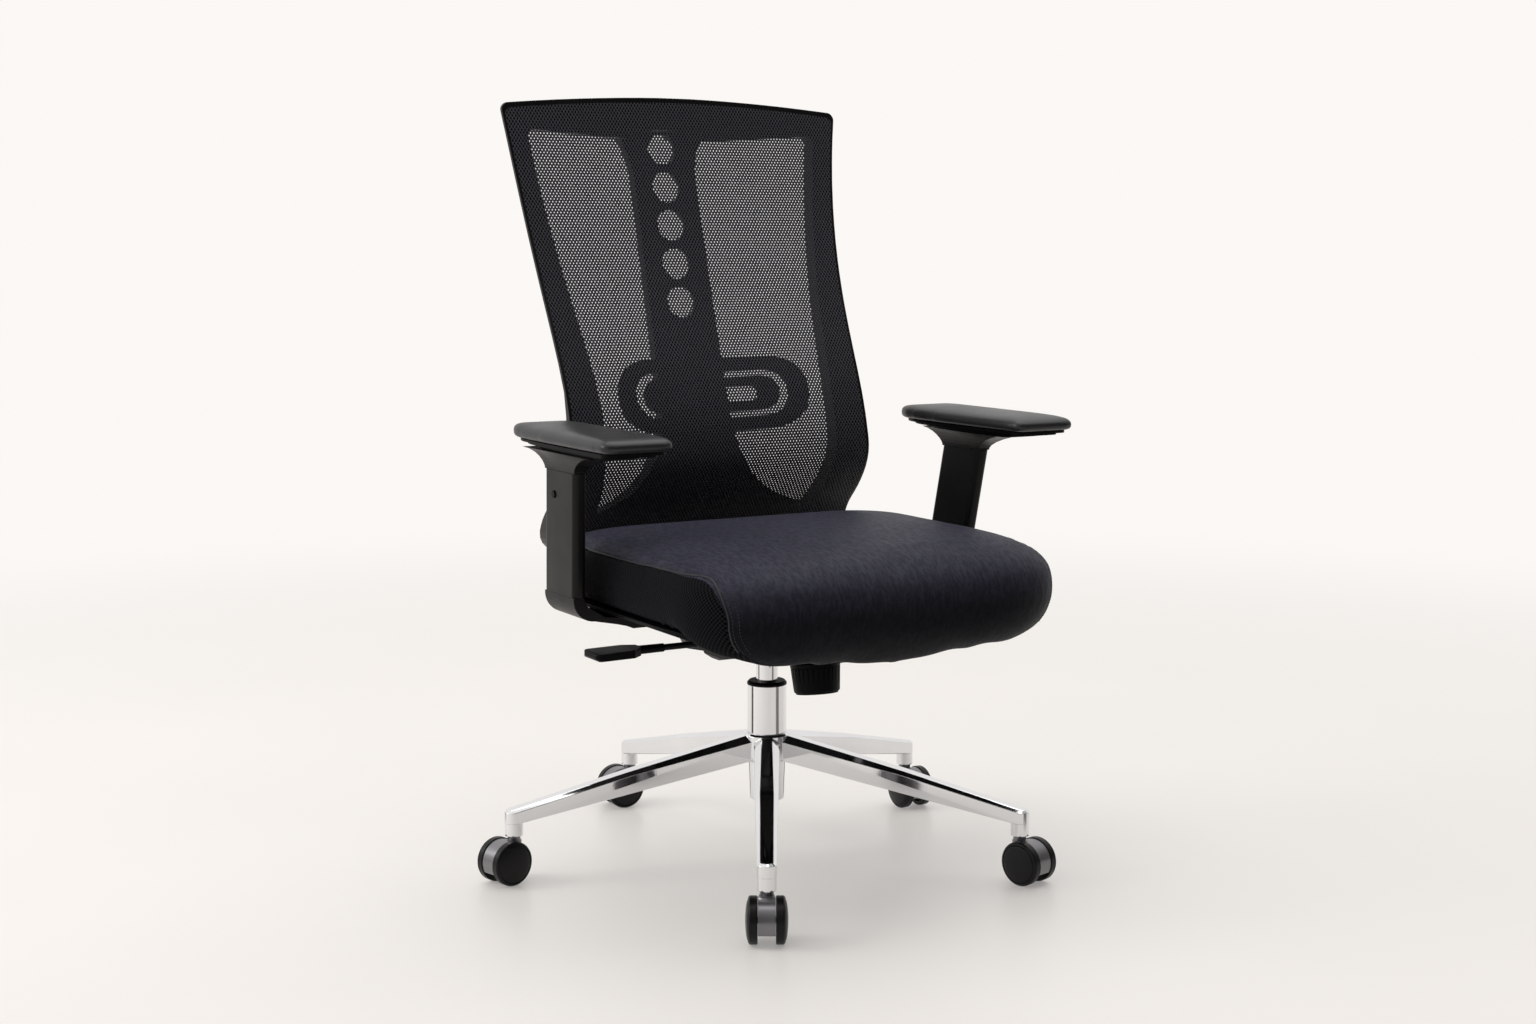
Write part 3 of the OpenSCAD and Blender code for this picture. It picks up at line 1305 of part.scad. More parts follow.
wheel(4, -1);  // wheel_5_right
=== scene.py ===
# %% [markdown]
# # A swivel office chair, dressed around its solids
# The chair's solids come in as a fixed frame: every rigid piece already has its place and shape.
# This lesson gives each of them a finish, and makes the soft pieces anew: the seat cushion,
# the arm pads and the woven cloth of the back.

import json
import math

import bmesh
import bpy
import numpy as np
from mathutils import Matrix, Vector
from mathutils.bvhtree import BVHTree
from mathutils.kdtree import KDTree


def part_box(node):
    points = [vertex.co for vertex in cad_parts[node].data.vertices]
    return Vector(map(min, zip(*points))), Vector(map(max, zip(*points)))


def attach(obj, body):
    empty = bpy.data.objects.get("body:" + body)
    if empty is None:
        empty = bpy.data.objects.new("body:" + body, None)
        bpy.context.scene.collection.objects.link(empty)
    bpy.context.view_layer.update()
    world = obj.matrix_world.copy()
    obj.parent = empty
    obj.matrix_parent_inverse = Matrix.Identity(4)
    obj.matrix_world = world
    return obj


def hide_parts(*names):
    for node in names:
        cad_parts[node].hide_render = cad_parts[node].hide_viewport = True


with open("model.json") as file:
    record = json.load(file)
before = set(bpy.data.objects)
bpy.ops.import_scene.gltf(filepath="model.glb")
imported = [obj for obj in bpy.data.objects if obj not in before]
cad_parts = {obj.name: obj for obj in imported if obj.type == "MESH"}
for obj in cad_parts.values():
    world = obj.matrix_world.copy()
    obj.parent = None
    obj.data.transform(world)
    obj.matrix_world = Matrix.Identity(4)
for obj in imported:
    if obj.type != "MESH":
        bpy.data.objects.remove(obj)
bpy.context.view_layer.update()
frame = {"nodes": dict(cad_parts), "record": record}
nodes = frame["nodes"]

# %% [markdown]
# ## Selecting one piece at a time
# An operator works on everything that is selected, and loading the frame leaves its solids
# selected. So each step first clears the selection and names the one piece it works on. The
# modifiers of a piece are applied in their order, and after that the mesh is all there is.


# %% Small helpers for selecting
def deselect():
    for item in bpy.context.selected_objects:
        item.select_set(False)


def make_active(piece):
    deselect()
    piece.select_set(True)
    bpy.context.view_layer.objects.active = piece


def apply_all(piece):
    """Every modifier becomes part of the mesh, in order."""
    make_active(piece)
    for modifier in list(piece.modifiers):
        bpy.ops.object.modifier_apply(modifier=modifier.name)


deselect()
print("selected:", len(bpy.context.selected_objects))

# %% [markdown]
# ## The camera
# It stands a little above the arm rests, to the right of the sitter and in front, and looks
# slightly down. The long lens keeps the chair's upright lines nearly parallel.

# %% Camera
CAMERA_HEADING = math.radians(30)
CAMERA_PITCH = math.radians(7.2)
SENSOR = 36
LENS_OVER_WIDTH = 2150/1536         # the lens's length over the width of the frame
camera_data = bpy.data.cameras.new("Camera")
camera_data.sensor_width = SENSOR
camera_data.lens = LENS_OVER_WIDTH*SENSOR
camera_data.clip_start = 0.05
camera = bpy.data.objects.new("Camera", camera_data)
bpy.context.scene.collection.objects.link(camera)
camera.location = (-1.3487, -2.3388, 0.790)
camera.rotation_euler = (math.pi/2 - CAMERA_PITCH, 0, -CAMERA_HEADING)
bpy.context.scene.camera = camera
bpy.context.scene.view_settings.view_transform = "Standard"
print("lens", round(camera_data.lens, 2), "mm")

# %% [markdown]
# ## How the finishes are built
# A finish is a small tree of nodes: noise for a cloudy tone, a map range that turns it into
# roughness, and a bump for relief. Wired one by one they are long to read, so a class gives
# short names to those that this chair needs. A plain number goes straight onto its socket,
# because a shader that leaves Blender keeps it only there.


# %% Helpers for wiring nodes
class Nodes:
    """A node tree, with short names for the nodes that this chair's finishes are built from."""

    def __init__(self, tree):
        self.tree = tree
        tree.nodes.clear()

    def node(self, kind, **settings):
        made = self.tree.nodes.new(kind)
        for key, value in settings.items():
            setattr(made, key, value)
        return made

    def give(self, socket, value):
        """A socket takes another node's output, or a plain value."""
        if hasattr(value, "is_output"):
            self.tree.links.new(value, socket)
        else:
            socket.default_value = value

    def wired(self, kind, output, sockets, **settings):
        """One output of a new node whose sockets have been given their values."""
        made = self.node(kind, **settings)
        for key, value in sockets.items():
            self.give(made.inputs[key], value)
        return made.outputs[output]

    def place(self, scale=(1, 1, 1)):
        """Object coordinates in metres, stretched."""
        spot = self.node("ShaderNodeTexCoord").outputs["Object"]
        return self.wired("ShaderNodeMapping", 0, {"Vector": spot, "Scale": scale})

    def noise(self, vector, scale, detail=3.0, rough=0.5, distortion=0.0):
        return self.wired("ShaderNodeTexNoise", "Fac", {
            "Vector": vector, "Scale": scale, "Detail": detail, "Roughness": rough,
            "Distortion": distortion})

    def math(self, operation, a, b=0.5):
        return self.wired("ShaderNodeMath", 0, {0: a, 1: b}, operation=operation)

    def steps(self, value, low, high, out_low=0.0, out_high=1.0):
        """Eases from out_low to out_high while the value goes from low to high."""
        return self.wired("ShaderNodeMapRange", 0, {
            "Value": value, "From Min": low, "From Max": high, "To Min": out_low,
            "To Max": out_high}, interpolation_type="SMOOTHSTEP")

    def blend(self, amount, a, b):
        """Colour a where amount is 0, colour b where it is 1."""
        return self.wired("ShaderNodeMix", 2, {0: amount, 6: a, 7: b}, data_type="RGBA")

    def mix_shaders(self, amount, a, b):
        return self.wired("ShaderNodeMixShader", 0, {0: amount, 1: a, 2: b})

    def along(self, vector, direction):
        """How far a vector points along a direction."""
        return self.wired("ShaderNodeVectorMath", "Value", {0: vector, 1: direction},
                          operation="DOT_PRODUCT")


print("helpers:", [name for name in vars(Nodes) if name[0] != "_"])

# %% [markdown]
# Nearly every surface can be had from the principled shader: its sockets stand for what a
# maker would name, such as colour, roughness and metal. Colours are given as numbers
# from 0 to 255, and have to be made linear before light is reckoned with them.


# %% Helpers for one finish
class Finish(Nodes):
    """A material with one principled shader."""

    def __init__(self, name):
        self.material = bpy.data.materials.new(name)
        self.material.use_nodes = True
        super().__init__(self.material.node_tree)
        self.output = self.node("ShaderNodeOutputMaterial")
        self.shader = self.node("ShaderNodeBsdfPrincipled")
        self.give(self.output.inputs[0], self.shader.outputs[0])

    def set(self, **values):
        for key, value in values.items():
            self.give(self.shader.inputs[key.replace("_", " ")], value)

    def bump(self, height, strength, distance, under=None):
        sockets = {"Height": height, "Strength": strength, "Distance": distance}
        if under is not None:
            sockets["Normal"] = under
        return self.wired("ShaderNodeBump", 0, sockets)

    def soft_edge(self, radius):
        """Edges catch light as if they had a small radius."""
        return self.wired("ShaderNodeBevel", 0, {"Radius": radius}, samples=4)


def tone(r, g, b):
    """A colour from 0 to 255 as seen, made linear."""
    def linear(v):
        v /= 255
        return v/12.92 if v <= 0.04045 else ((v + 0.055)/1.055)**2.4
    return (linear(r), linear(g), linear(b), 1.0)


print("a middle grey is", round(tone(128, 128, 128)[0], 3), "in linear light")

# %% [markdown]
# ## The floor
# A pale seamless sheet that runs up into a pale wall. A bent backdrop would do the same, but
# it has an edge somewhere. Here the floor is one wide disc that fades into the wall's tone a
# few metres out, so no line shows from any side. It also glows a little by itself, as a sheet
# lit from below does, and that keeps the chair's shadow soft.

# %% Floor
FLOOR_RADIUS = 9.0
WALL_TONE = tone(251, 248, 245)
GLOW = 0.26                         # share of its own light close to the chair
FADE_FROM, FADE_TO = 1.1, 3.4       # metres from the chair's axis
deselect()
bpy.ops.mesh.primitive_circle_add(vertices=96, radius=FLOOR_RADIUS, fill_type="NGON",
                                  location=(0, 0, 0))
floor = bpy.context.active_object
floor.name = "studio_floor"

ground = Finish("pale_floor")
spot = ground.place()
distance = ground.wired("ShaderNodeVectorMath", "Value", {0: spot}, operation="LENGTH")
mottle = ground.noise(spot, 2.2, 3)
ground.set(Base_Color=ground.blend(mottle, tone(226, 221, 216), tone(235, 231, 227)),
           Roughness=ground.steps(mottle, 0.3, 0.7, 0.30, 0.42), Specular_IOR_Level=0.42)
far = ground.wired("ShaderNodeEmission", 0, {"Color": WALL_TONE})
faded = ground.mix_shaders(ground.steps(distance, FADE_FROM, FADE_TO, GLOW, 1.0),
                           ground.shader.outputs[0], far)
print("floor", FLOOR_RADIUS, "m")

# %% [markdown]
# Chrome looks like chrome only when it has something dark to mirror. In a studio two narrow
# black cards do it, laid on the floor where the lens does not see them. Here they are two
# dark sectors of the floor, one behind on the sitter's right and one in front on the left,
# that only glossy rays meet: they draw a dark line down each side of the lift's tube.

# %% Black cards for the chrome
CARDS = ((146, 7, 0.9), (-56, 9, 0.75))     # heading and half width in degrees, darkness
CARDS_SOFT = (1.3, 0.8)                     # shares of the half width: dark begins, is whole
CARDS_START = (0.55, 0.65)                  # and the same in metres from the chair's axis
outward = ground.wired("ShaderNodeVectorMath", "Vector", {0: spot}, operation="NORMALIZE")
cards = 0.0
for heading, half_width, darkness in CARDS:
    turn = math.radians(heading)
    facing = ground.along(outward, (math.cos(turn), math.sin(turn), 0))
    soft_rim = [math.cos(math.radians(half_width*share)) for share in CARDS_SOFT]
    cards = ground.math("ADD", cards, ground.steps(facing, *soft_rim, 0.0, darkness))
cards = ground.math("MULTIPLY", cards, ground.steps(distance, *CARDS_START))
cards = ground.math("MULTIPLY", cards, ground.node("ShaderNodeLightPath").outputs["Is Glossy Ray"])
black = ground.wired("ShaderNodeBsdfDiffuse", 0, {"Color": tone(3, 3, 3)})
ground.give(ground.output.inputs[0], ground.mix_shaders(cards, faded, black))
floor.data.materials.append(ground.material)
print("cards:", len(CARDS))

# %% [markdown]
# ## The light
# The eye sees an even pale wall all round. The light that falls on the chair is not even: the
# side to the sitter's left front is dim, so that the black pieces stay black there and the
# polished legs mirror something dark on top. One surrounding does both jobs, because it can
# tell a ray that comes from the lens from one that comes from a surface.

# %% World
DIM_SIDE = math.radians(-72)
DIM_LEFT = 0.12                     # what stays of the light on the dim side
world = bpy.data.worlds.new("Studio")
bpy.context.scene.world = world
world.use_nodes = True
sky = Nodes(world.node_tree)
way = sky.node("ShaderNodeTexCoord").outputs["Generated"]
rise = sky.along(way, (0, 0, 1))
toward_dim = sky.along(way, (math.cos(DIM_SIDE), math.sin(DIM_SIDE), 0))
share = sky.math("MULTIPLY", sky.steps(toward_dim, 0.0, 0.75, 1.0, DIM_LEFT),
                 sky.steps(rise, -0.1, 0.9, 0.85, 1.0))
light = sky.blend(share, (0, 0, 0, 1), (1.0, 0.985, 0.97, 1))
lit = sky.wired("ShaderNodeBackground", 0, {"Color": light})
seen = sky.wired("ShaderNodeBackground", 0, {"Color": WALL_TONE})
either = sky.mix_shaders(sky.node("ShaderNodeLightPath").outputs["Is Camera Ray"], lit, seen)
sky.give(sky.node("ShaderNodeOutputWorld").inputs[0], either)
print("dim side keeps", DIM_LEFT, "of the light")

# %% [markdown]
# Two wide lamps are enough. The key stands behind on the sitter's right and throws the shadow
# forward to the other side. The one above is three metres wide and brightens the seat.


# %% Lamps
def lamp(name, place, aim, size, power, warmth=(1, 1, 1)):
    data = bpy.data.lights.new(name, "AREA")
    data.shape = "RECTANGLE"
    data.size, data.size_y = size
    data.energy = power
    data.color = warmth
    made = bpy.data.objects.new(name, data)
    bpy.context.scene.collection.objects.link(made)
    made.location = place
    made.rotation_euler = (Vector(aim) - Vector(place)).to_track_quat("-Z", "Y").to_euler()


lamp("key", (-2.9, 1.3, 2.1), (0, 0, 0.35), (1.6, 1.4), 38, (1, 0.985, 0.965))
lamp("top", (0.5, 0.1, 3.2), (0, 0, 0.4), (3.0, 3.0), 38)
print("lamps placed")

# %% [markdown]
# ## Polished chrome
# The star base and the lift's tube are plated and buffed to nearly a mirror. A perfect mirror
# looks computed, so a slow haze changes the roughness and very faint upright wiping marks
# break the reflections. The edges are rounded in the shader, as buffing rounds them.


# %% Polished chrome
def polished_chrome():
    f = Finish("polished_chrome")
    haze = f.noise(f.place(), 9, 4)
    wipes = f.noise(f.place(scale=(1, 1, 0.12)), 240, 2)
    f.set(Base_Color=f.blend(haze, tone(222, 222, 224), tone(240, 240, 241)), Metallic=1.0,
          Roughness=f.steps(haze, 0.25, 0.8, 0.045, 0.12),
          Normal=f.bump(wipes, 0.02, 0.0004, f.soft_edge(0.0012)))
    return f.material


CHROME = polished_chrome()
print("finish:", CHROME.name)

# %% [markdown]
# ## Bright steel
# Bolts, pins and springs are plain steel with a fine drawn grain. The grain is noise that is
# squeezed along the upright, so it lies in level lines.


# %% Bright plain steel
def plain_steel():
    f = Finish("plain_steel")
    brushed = f.noise(f.place(scale=(30, 30, 900)), 1.0, 3)
    f.set(Base_Color=f.blend(brushed, tone(136, 136, 138), tone(160, 160, 162)),
          Metallic=1.0, Roughness=f.steps(brushed, 0.2, 0.8, 0.26, 0.40),
          Normal=f.bump(brushed, 0.05, 0.0003, f.soft_edge(0.0004)))
    return f.material


STEEL = plain_steel()
print("finish:", STEEL.name)

# %% [markdown]
# ## Moulded plastic and powder coat
# Most of the chair is black, and no two of its blacks are alike. Moulded plastic carries the
# fine grain of its mould, powder coat a coarser one, and both have slow changes of tone and
# slightly rounded edges. One recipe makes them all: only tone, grain and gloss differ.


# %% Moulded plastic and powder coat
def moulded(name, dark, light, rough, grain_scale=2600, grain=0.10, edge=0.0008, gloss=0.22,
            metal=0.0):
    f = Finish(name)
    spot = f.place()
    cloud = f.noise(spot, 14, 4)
    grains = f.noise(spot, grain_scale, 2)
    f.set(Base_Color=f.blend(cloud, dark, light),
          Roughness=f.steps(cloud, 0.25, 0.75, rough - 0.05, rough + 0.05),
          Specular_IOR_Level=gloss, Metallic=metal,
          Normal=f.bump(grains, grain, 0.0002, f.soft_edge(edge)))
    return f.material


BLACK_STEEL = moulded("black_powder_coat", tone(5, 5, 6), tone(9, 9, 10), 0.48, 1500, 0.25,
                      gloss=0.16)
BLACK_PLASTIC = moulded("black_plastic", tone(4, 4, 5), tone(8, 8, 9), 0.44, gloss=0.07)
FRAME_PLASTIC = moulded("back_frame_plastic", tone(6, 6, 8), tone(10, 10, 12), 0.36,
                        3000, 0.06, 0.0016)
ARM_PLASTIC = moulded("arm_plastic", tone(11, 10, 10), tone(16, 15, 15), 0.40,
                      3200, 0.06, 0.0014, 0.17)
HOOD_PLASTIC = moulded("caster_hood_paint", tone(120, 119, 122), tone(138, 137, 140), 0.32,
                       3000, 0.05, 0.0008, 0.5, metal=0.85)
WHEEL_PLASTIC = moulded("wheel_plastic", tone(9, 9, 10), tone(15, 15, 16), 0.36, 2200, 0.08)
print("blacks and greys:", BLACK_STEEL.name, BLACK_PLASTIC.name, FRAME_PLASTIC.name,
      ARM_PLASTIC.name, HOOD_PLASTIC.name, WHEEL_PLASTIC.name)

# %% [markdown]
# ## Hand each solid its finish
# The record says of what each solid is made. The back's frame is moulded apart from the other
# black pieces and has its own, smoother skin.

# %% Finishes on the solids
FINISH_OF = {"chrome": CHROME, "steel": STEEL, "black_steel": BLACK_STEEL,
             "black_plastic": BLACK_PLASTIC, "arm_plastic": ARM_PLASTIC, "arm_pad": ARM_PLASTIC,
             "seat_cloth": BLACK_PLASTIC, "back_mesh": BLACK_PLASTIC,
             "caster_plastic": HOOD_PLASTIC, "wheel_plastic": WHEEL_PLASTIC}
slot_of = {part["node"]: part["material_slot"] for part in frame["record"]["subparts"]}
for name, solid in nodes.items():
    finish = FRAME_PLASTIC if name == "back_frame" else FINISH_OF[slot_of[name]]
    solid.data.materials.clear()
    solid.data.materials.append(finish)
print("finishes on", len(nodes), "solids")

# %% [markdown]
# ## New pieces beside the solids
# A solid's own mesh is never changed. Where a piece needs another shape, a copy of the solid
# is worked on and then stands for it. A solid's triangles come loose, so the copy is merged
# first. Some pieces are laid on others, and for that a surface can be asked what a line meets.

# %% Helpers for new pieces
MERGE = 1e-5            # points nearer to each other than this become one


def new_piece(name, mesh):
    piece = bpy.data.objects.new(name, mesh)
    bpy.context.scene.collection.objects.link(piece)
    return piece


def copy_of(node, name):
    """A merged copy of a solid's mesh, to be worked on."""
    piece = new_piece(name, nodes[node].data.copy())
    piece.data.materials.clear()
    work = bmesh.new()
    work.from_mesh(piece.data)
    bmesh.ops.remove_doubles(work, verts=work.verts, dist=MERGE)
    work.to_mesh(piece.data)
    work.free()
    return piece


def surface_of(piece):
    work = bmesh.new()
    work.from_mesh(piece.data)
    tree = BVHTree.FromBMesh(work)
    work.free()
    return tree


print("points nearer than", MERGE*1000, "mm are merged")

# %% [markdown]
# ## The heels of the arm posts
# Each arm post leans forward, so its square-cut foot leaves a thin wedge of air above the bend
# that carries it. The real casting is one piece there. A filler block would show its own
# edges, so the foot's underside is extruded down along the post until it sinks into the bend.

# %% Arm brackets: carry the leaning post down into its bend
HEEL = 0.010
ABOVE_BEND = 0.36       # the post's foot lies above this height


def is_foot(face):
    """The foot looks down and, because the post leans forward, a little to the rear."""
    return face.normal.z < -0.95 and 0.1 < face.normal.y < 0.25 and face.center.z > ABOVE_BEND


for label in ("left", "right"):
    bracket = copy_of("arm_bracket_" + label, "ArmBracket_" + label)
    make_active(bracket)
    underside = [face for face in bracket.data.polygons if is_foot(face)]
    way_down = underside[0].normal*HEEL
    for part in (bracket.data.vertices, bracket.data.edges, bracket.data.polygons):
        part.foreach_set("select", [False]*len(part))
    for face in underside:
        face.select = True
    bpy.ops.object.mode_set(mode="EDIT")
    bpy.ops.mesh.select_mode(type="FACE")
    bpy.ops.mesh.extrude_region_move(TRANSFORM_OT_translate={"value": way_down})
    bpy.ops.object.mode_set(mode="OBJECT")
    bracket.data.materials.append(ARM_PLASTIC)
    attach(bracket, "seat")
    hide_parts("arm_bracket_" + label)
    print(bracket.name, "heel faces:", len(underside))

# %% [markdown]
# ## The slot strip
# The lumbar pad's carriage slides in a slot of the spine. A thin strip of plastic rides with
# it in front of the slot and keeps dust and daylight out, as on most sliding adjusters. The
# spine leans, so the strip's place is measured: two level lines from the front meet the spine
# beside the slot, and the strip lies along the line between the two places.

# %% Where the strip lies
BESIDE_SLOT = 0.011
IN_FRONT = 0.05
SLOT_HEIGHTS = (0.535, 0.655)
spine = surface_of(nodes["back_frame"])
slot_foot, slot_head = (
    spine.ray_cast(Vector((BESIDE_SLOT, IN_FRONT, z)), Vector((0, 1, 0)))[0]
    for z in SLOT_HEIGHTS)
carriage_low, carriage_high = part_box("lumbar_carriage")
middle_z = (carriage_low.z + carriage_high.z)/2
up_spine = (slot_head - slot_foot).normalized()
frontward = Vector((0, -up_spine.z, up_spine.y))
middle = slot_foot + up_spine*((middle_z - slot_foot.z)/up_spine.z)
middle.x = 0
print("strip middle", tuple(round(v, 4) for v in middle))

# %% [markdown]
# The strip starts as a thin box. Its two ends are extruded and narrowed, and its edges get a
# small bevel. It is shaped upright at the origin, where its faces are easy to name, and laid
# onto the spine last.

# %% Slot strip, lying on the front of the spine
STRIP = (0.017, 0.0008, 0.128)          # width, thickness, and length without the ends
STRIP_END = 0.004
STRIP_END_WIDTH = 0.6                   # share of the strip's width
STRIP_GAP = 0.0004                      # between strip and spine
deselect()
bpy.ops.mesh.primitive_cube_add(size=1)
strip = bpy.context.active_object
strip.name = strip.data.name = "SlotStrip"
bpy.ops.object.mode_set(mode="EDIT")
bpy.ops.transform.resize(value=STRIP)
bpy.ops.mesh.select_all(action="DESELECT")
bpy.ops.object.mode_set(mode="OBJECT")
for face in strip.data.polygons:
    face.select = abs(face.normal.z) > 0.9
bpy.ops.object.mode_set(mode="EDIT")
bpy.ops.mesh.select_mode(type="FACE")
bpy.ops.mesh.extrude_region_shrink_fatten(TRANSFORM_OT_shrink_fatten={"value": STRIP_END})
bpy.ops.transform.resize(value=(STRIP_END_WIDTH, 1, 1))
bpy.ops.object.mode_set(mode="OBJECT")
lay = Matrix((Vector((1, 0, 0)), -frontward, up_spine)).transposed().to_4x4()
lay.translation = middle + frontward*(STRIP[1]/2 + STRIP_GAP)
strip.data.transform(lay)
rounding = strip.modifiers.new("Bevel", "BEVEL")
rounding.width = 0.00025
rounding.segments = 2
apply_all(strip)
strip.data.materials.append(BLACK_PLASTIC)
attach(strip, "lumbar")
print(strip.name, len(strip.data.polygons), "faces")

# %% [markdown]
# ## The seat cushion
# Moulded foam under a tight cover: a smooth dark top that rolls over the front edge, and a
# coarser black mesh along both sides, joined by a piped seam with two rows of stitching.
# The cover is made from the cushion's solid, swollen a little by a cloth simulation so that
# it is taut between its edges. The seam comes after, because remeshing would remove it.
#
# Remeshing gives even small faces all over, but it leaves faint steps. Plain smoothing takes
# them away and shrinks the form with them, so here each smoothing is followed by a swelling.

# %% A smoothing that keeps the form full
INWARD, OUTWARD = 0.50, -0.53       # share of the way to the neighbours' middle, there and back


def even_out(piece, rounds):
    """Each round smooths the mesh and then swells it back, so dents go but the form stays."""
    mesh = piece.data
    count = len(mesh.vertices)
    points = np.empty(count*3)
    mesh.vertices.foreach_get("co", points)
    points = points.reshape(-1, 3)
    pairs = np.empty(len(mesh.edges)*2, dtype=np.int64)
    mesh.edges.foreach_get("vertices", pairs)
    a, b = pairs.reshape(-1, 2).T
    neighbours = np.bincount(np.concatenate((a, b)), minlength=count)
    for share in (INWARD, OUTWARD)*rounds:
        for axis in range(3):
            value = points[:, axis]
            near = np.bincount(a, value[b], count) + np.bincount(b, value[a], count)
            points[:, axis] = value + share*(near/neighbours - value)
    mesh.vertices.foreach_set("co", points.ravel())
    mesh.update()


print("each round swells by", round(-OUTWARD - INWARD, 2), "more than it smooths")

# %% [markdown]
# The cover starts as a copy of the cushion's solid. Voxels of five millimetres still follow
# the roll at the front, and are few enough for the simulation to be quick.


# %% Cushion: cover the solid
VOXEL = 0.0055


def remesh_and_smooth(piece, voxel, factor, rounds):
    """Two modifiers, to be applied."""
    remesh = piece.modifiers.new("Remesh", "REMESH")
    remesh.mode = "VOXEL"
    remesh.voxel_size = voxel
    smooth = piece.modifiers.new("Smooth", "SMOOTH")
    smooth.factor = factor
    smooth.iterations = rounds


cushion = copy_of("seat_cushion", "CushionCover")
remesh_and_smooth(cushion, VOXEL, 0.5, 6)
apply_all(cushion)
even_out(cushion, 40)
print("cushion cover:", len(cushion.data.vertices), "points")

# %% [markdown]
# A tight cover bulges a little between its edges. Cloth with air inside finds that form by
# itself: it is blown up for a few frames without gravity. Where it would go too far it is
# held back, because the cushion has to stay within its place between the arms.

# %% Cushion: inflate the cover
AIR = 4.0               # pressure inside the cover
CAP = 0.0035            # no point of the cover moves further than this
LAST_FRAME = 20


def inflate(piece):
    """Cloth under air pressure for a few frames, with the movement of each point capped."""
    start = [v.co.copy() for v in piece.data.vertices]
    cloth = piece.modifiers.new("Cloth", "CLOTH")
    cloth.settings.quality = 4
    cloth.settings.mass = 0.3
    cloth.settings.tension_stiffness = 40
    cloth.settings.compression_stiffness = 40
    cloth.settings.bending_stiffness = 4
    cloth.settings.use_pressure = True
    cloth.settings.uniform_pressure_force = AIR
    cloth.settings.effector_weights.gravity = 0
    cloth.collision_settings.use_self_collision = False
    cloth.point_cache.frame_start = 1
    cloth.point_cache.frame_end = LAST_FRAME
    scene = bpy.context.scene
    for step in range(1, LAST_FRAME + 1):
        scene.frame_set(step)
    apply_all(piece)
    scene.frame_set(1)
    for vertex, before in zip(piece.data.vertices, start):
        moved = vertex.co - before
        if moved.length > CAP:
            vertex.co = before + moved*(CAP/moved.length)


inflate(cushion)
even_out(cushion, 12)
print("cover's highest point", round(max(v.co.z for v in cushion.data.vertices), 4))

# %% [markdown]
# At the two front corners the cover hangs a little lower than the foam's solid, outside the
# rim of the pan, and hides it. Pulling the whole edge down would push the cushion into the
# pan, so only the band outside the pan moves. For that the pan's reach is measured first, in
# small steps from the side round to the front.

# %% The pan's reach, and a soft step between two values
RIM_STEPS = 36
RIM_STEP = 90/RIM_STEPS


def turn_to_front(place):
    """Degrees from the cushion's side, 0, round to its front, 90."""
    return math.degrees(math.atan2(-place.y, abs(place.x)))


def eased(value, low, high):
    """Goes softly from 0 to 1 while the value goes from low to high."""
    t = min(1.0, max(0.0, (value - low)/(high - low)))
    return t*t*(3 - 2*t)


rim = [0.0]*(RIM_STEPS + 1)
for vertex in nodes["seat_pan"].data.vertices:
    place = vertex.co
    if place.y < 0:
        at = round(turn_to_front(place)/RIM_STEP)
        for k in (at - 1, at, at + 1):
            if 0 <= k < len(rim):
                rim[k] = max(rim[k], math.hypot(place.x, place.y))
print("the pan reaches", round(rim[0], 3), "m to the side,", round(rim[-1], 3), "m to the front")

# %% [markdown]
# The pull is strongest at the corner and fades in every direction: towards the side, towards
# the middle of the front, towards the rim and upwards. So no line shows where it begins.

# %% Cover pulled down outside the pan's front corners
HANG = 0.022                    # how far the corners hang down
BAND_TOP = 0.41                 # nothing higher than this moves
CORNER_TURN = (26, 46)          # degrees over which the pull begins, coming from the side
FRONT_TURN = (60, 80)           # degrees over which it eases off towards the middle
FRONT_EASE = 0.75               # share of the pull that is gone there
RIM_DISTANCE = (0.003, 0.018)   # outside the pan's rim
HANG_HEIGHT = (0.345, 0.405)    # whole pull at the first height, none at the second
lowest = min(v.co.z for v in cushion.data.vertices)
for vertex in cushion.data.vertices:
    place = vertex.co
    if place.y >= 0 or place.z > BAND_TOP:
        continue
    turn = turn_to_front(place)
    outside = math.hypot(place.x, place.y) - rim[min(RIM_STEPS, round(turn/RIM_STEP))]
    share = (eased(turn, *CORNER_TURN)*(1 - FRONT_EASE*eased(turn, *FRONT_TURN))
             * eased(outside, *RIM_DISTANCE))
    place.z -= HANG*share*(1 - eased(place.z, *HANG_HEIGHT))
print("cover's lowest point was", round(lowest, 4))

# %% [markdown]
# The pull leaves the lower edge a little ragged. A vertex group says how strongly a modifier
# works on each point: here a smoothing works on the lower edge and fades out above it. Then
# every point that has come too close to the pan is set back to a hair's breadth off it.

# %% Lower edge smoothed, and kept off the pan
EDGE_HEIGHT = (0.345, 0.372)    # smoothed wholly at the first height, not at all at the second
PAN_TOP = 0.375
PAN_SEARCH = 0.02
LEAST_GAP, GAP = 0.0004, 0.0006
band = cushion.vertex_groups.new(name="lower_edge")
for vertex in cushion.data.vertices:
    band.add([vertex.index], 1 - eased(vertex.co.z, *EDGE_HEIGHT), "REPLACE")
smooth = cushion.modifiers.new("LowerEdge", "SMOOTH")
smooth.vertex_group = "lower_edge"
smooth.factor = 0.5
smooth.iterations = 40
apply_all(cushion)
pan = surface_of(nodes["seat_pan"])
for vertex in cushion.data.vertices:
    if vertex.co.z < PAN_TOP:
        on_pan, outward, _, _ = pan.find_nearest(vertex.co, PAN_SEARCH)
        if on_pan is not None and (vertex.co - on_pan).dot(outward) < LEAST_GAP:
            vertex.co = on_pan + outward*GAP
print("cover's lowest point is", round(min(v.co.z for v in cushion.data.vertices), 4))

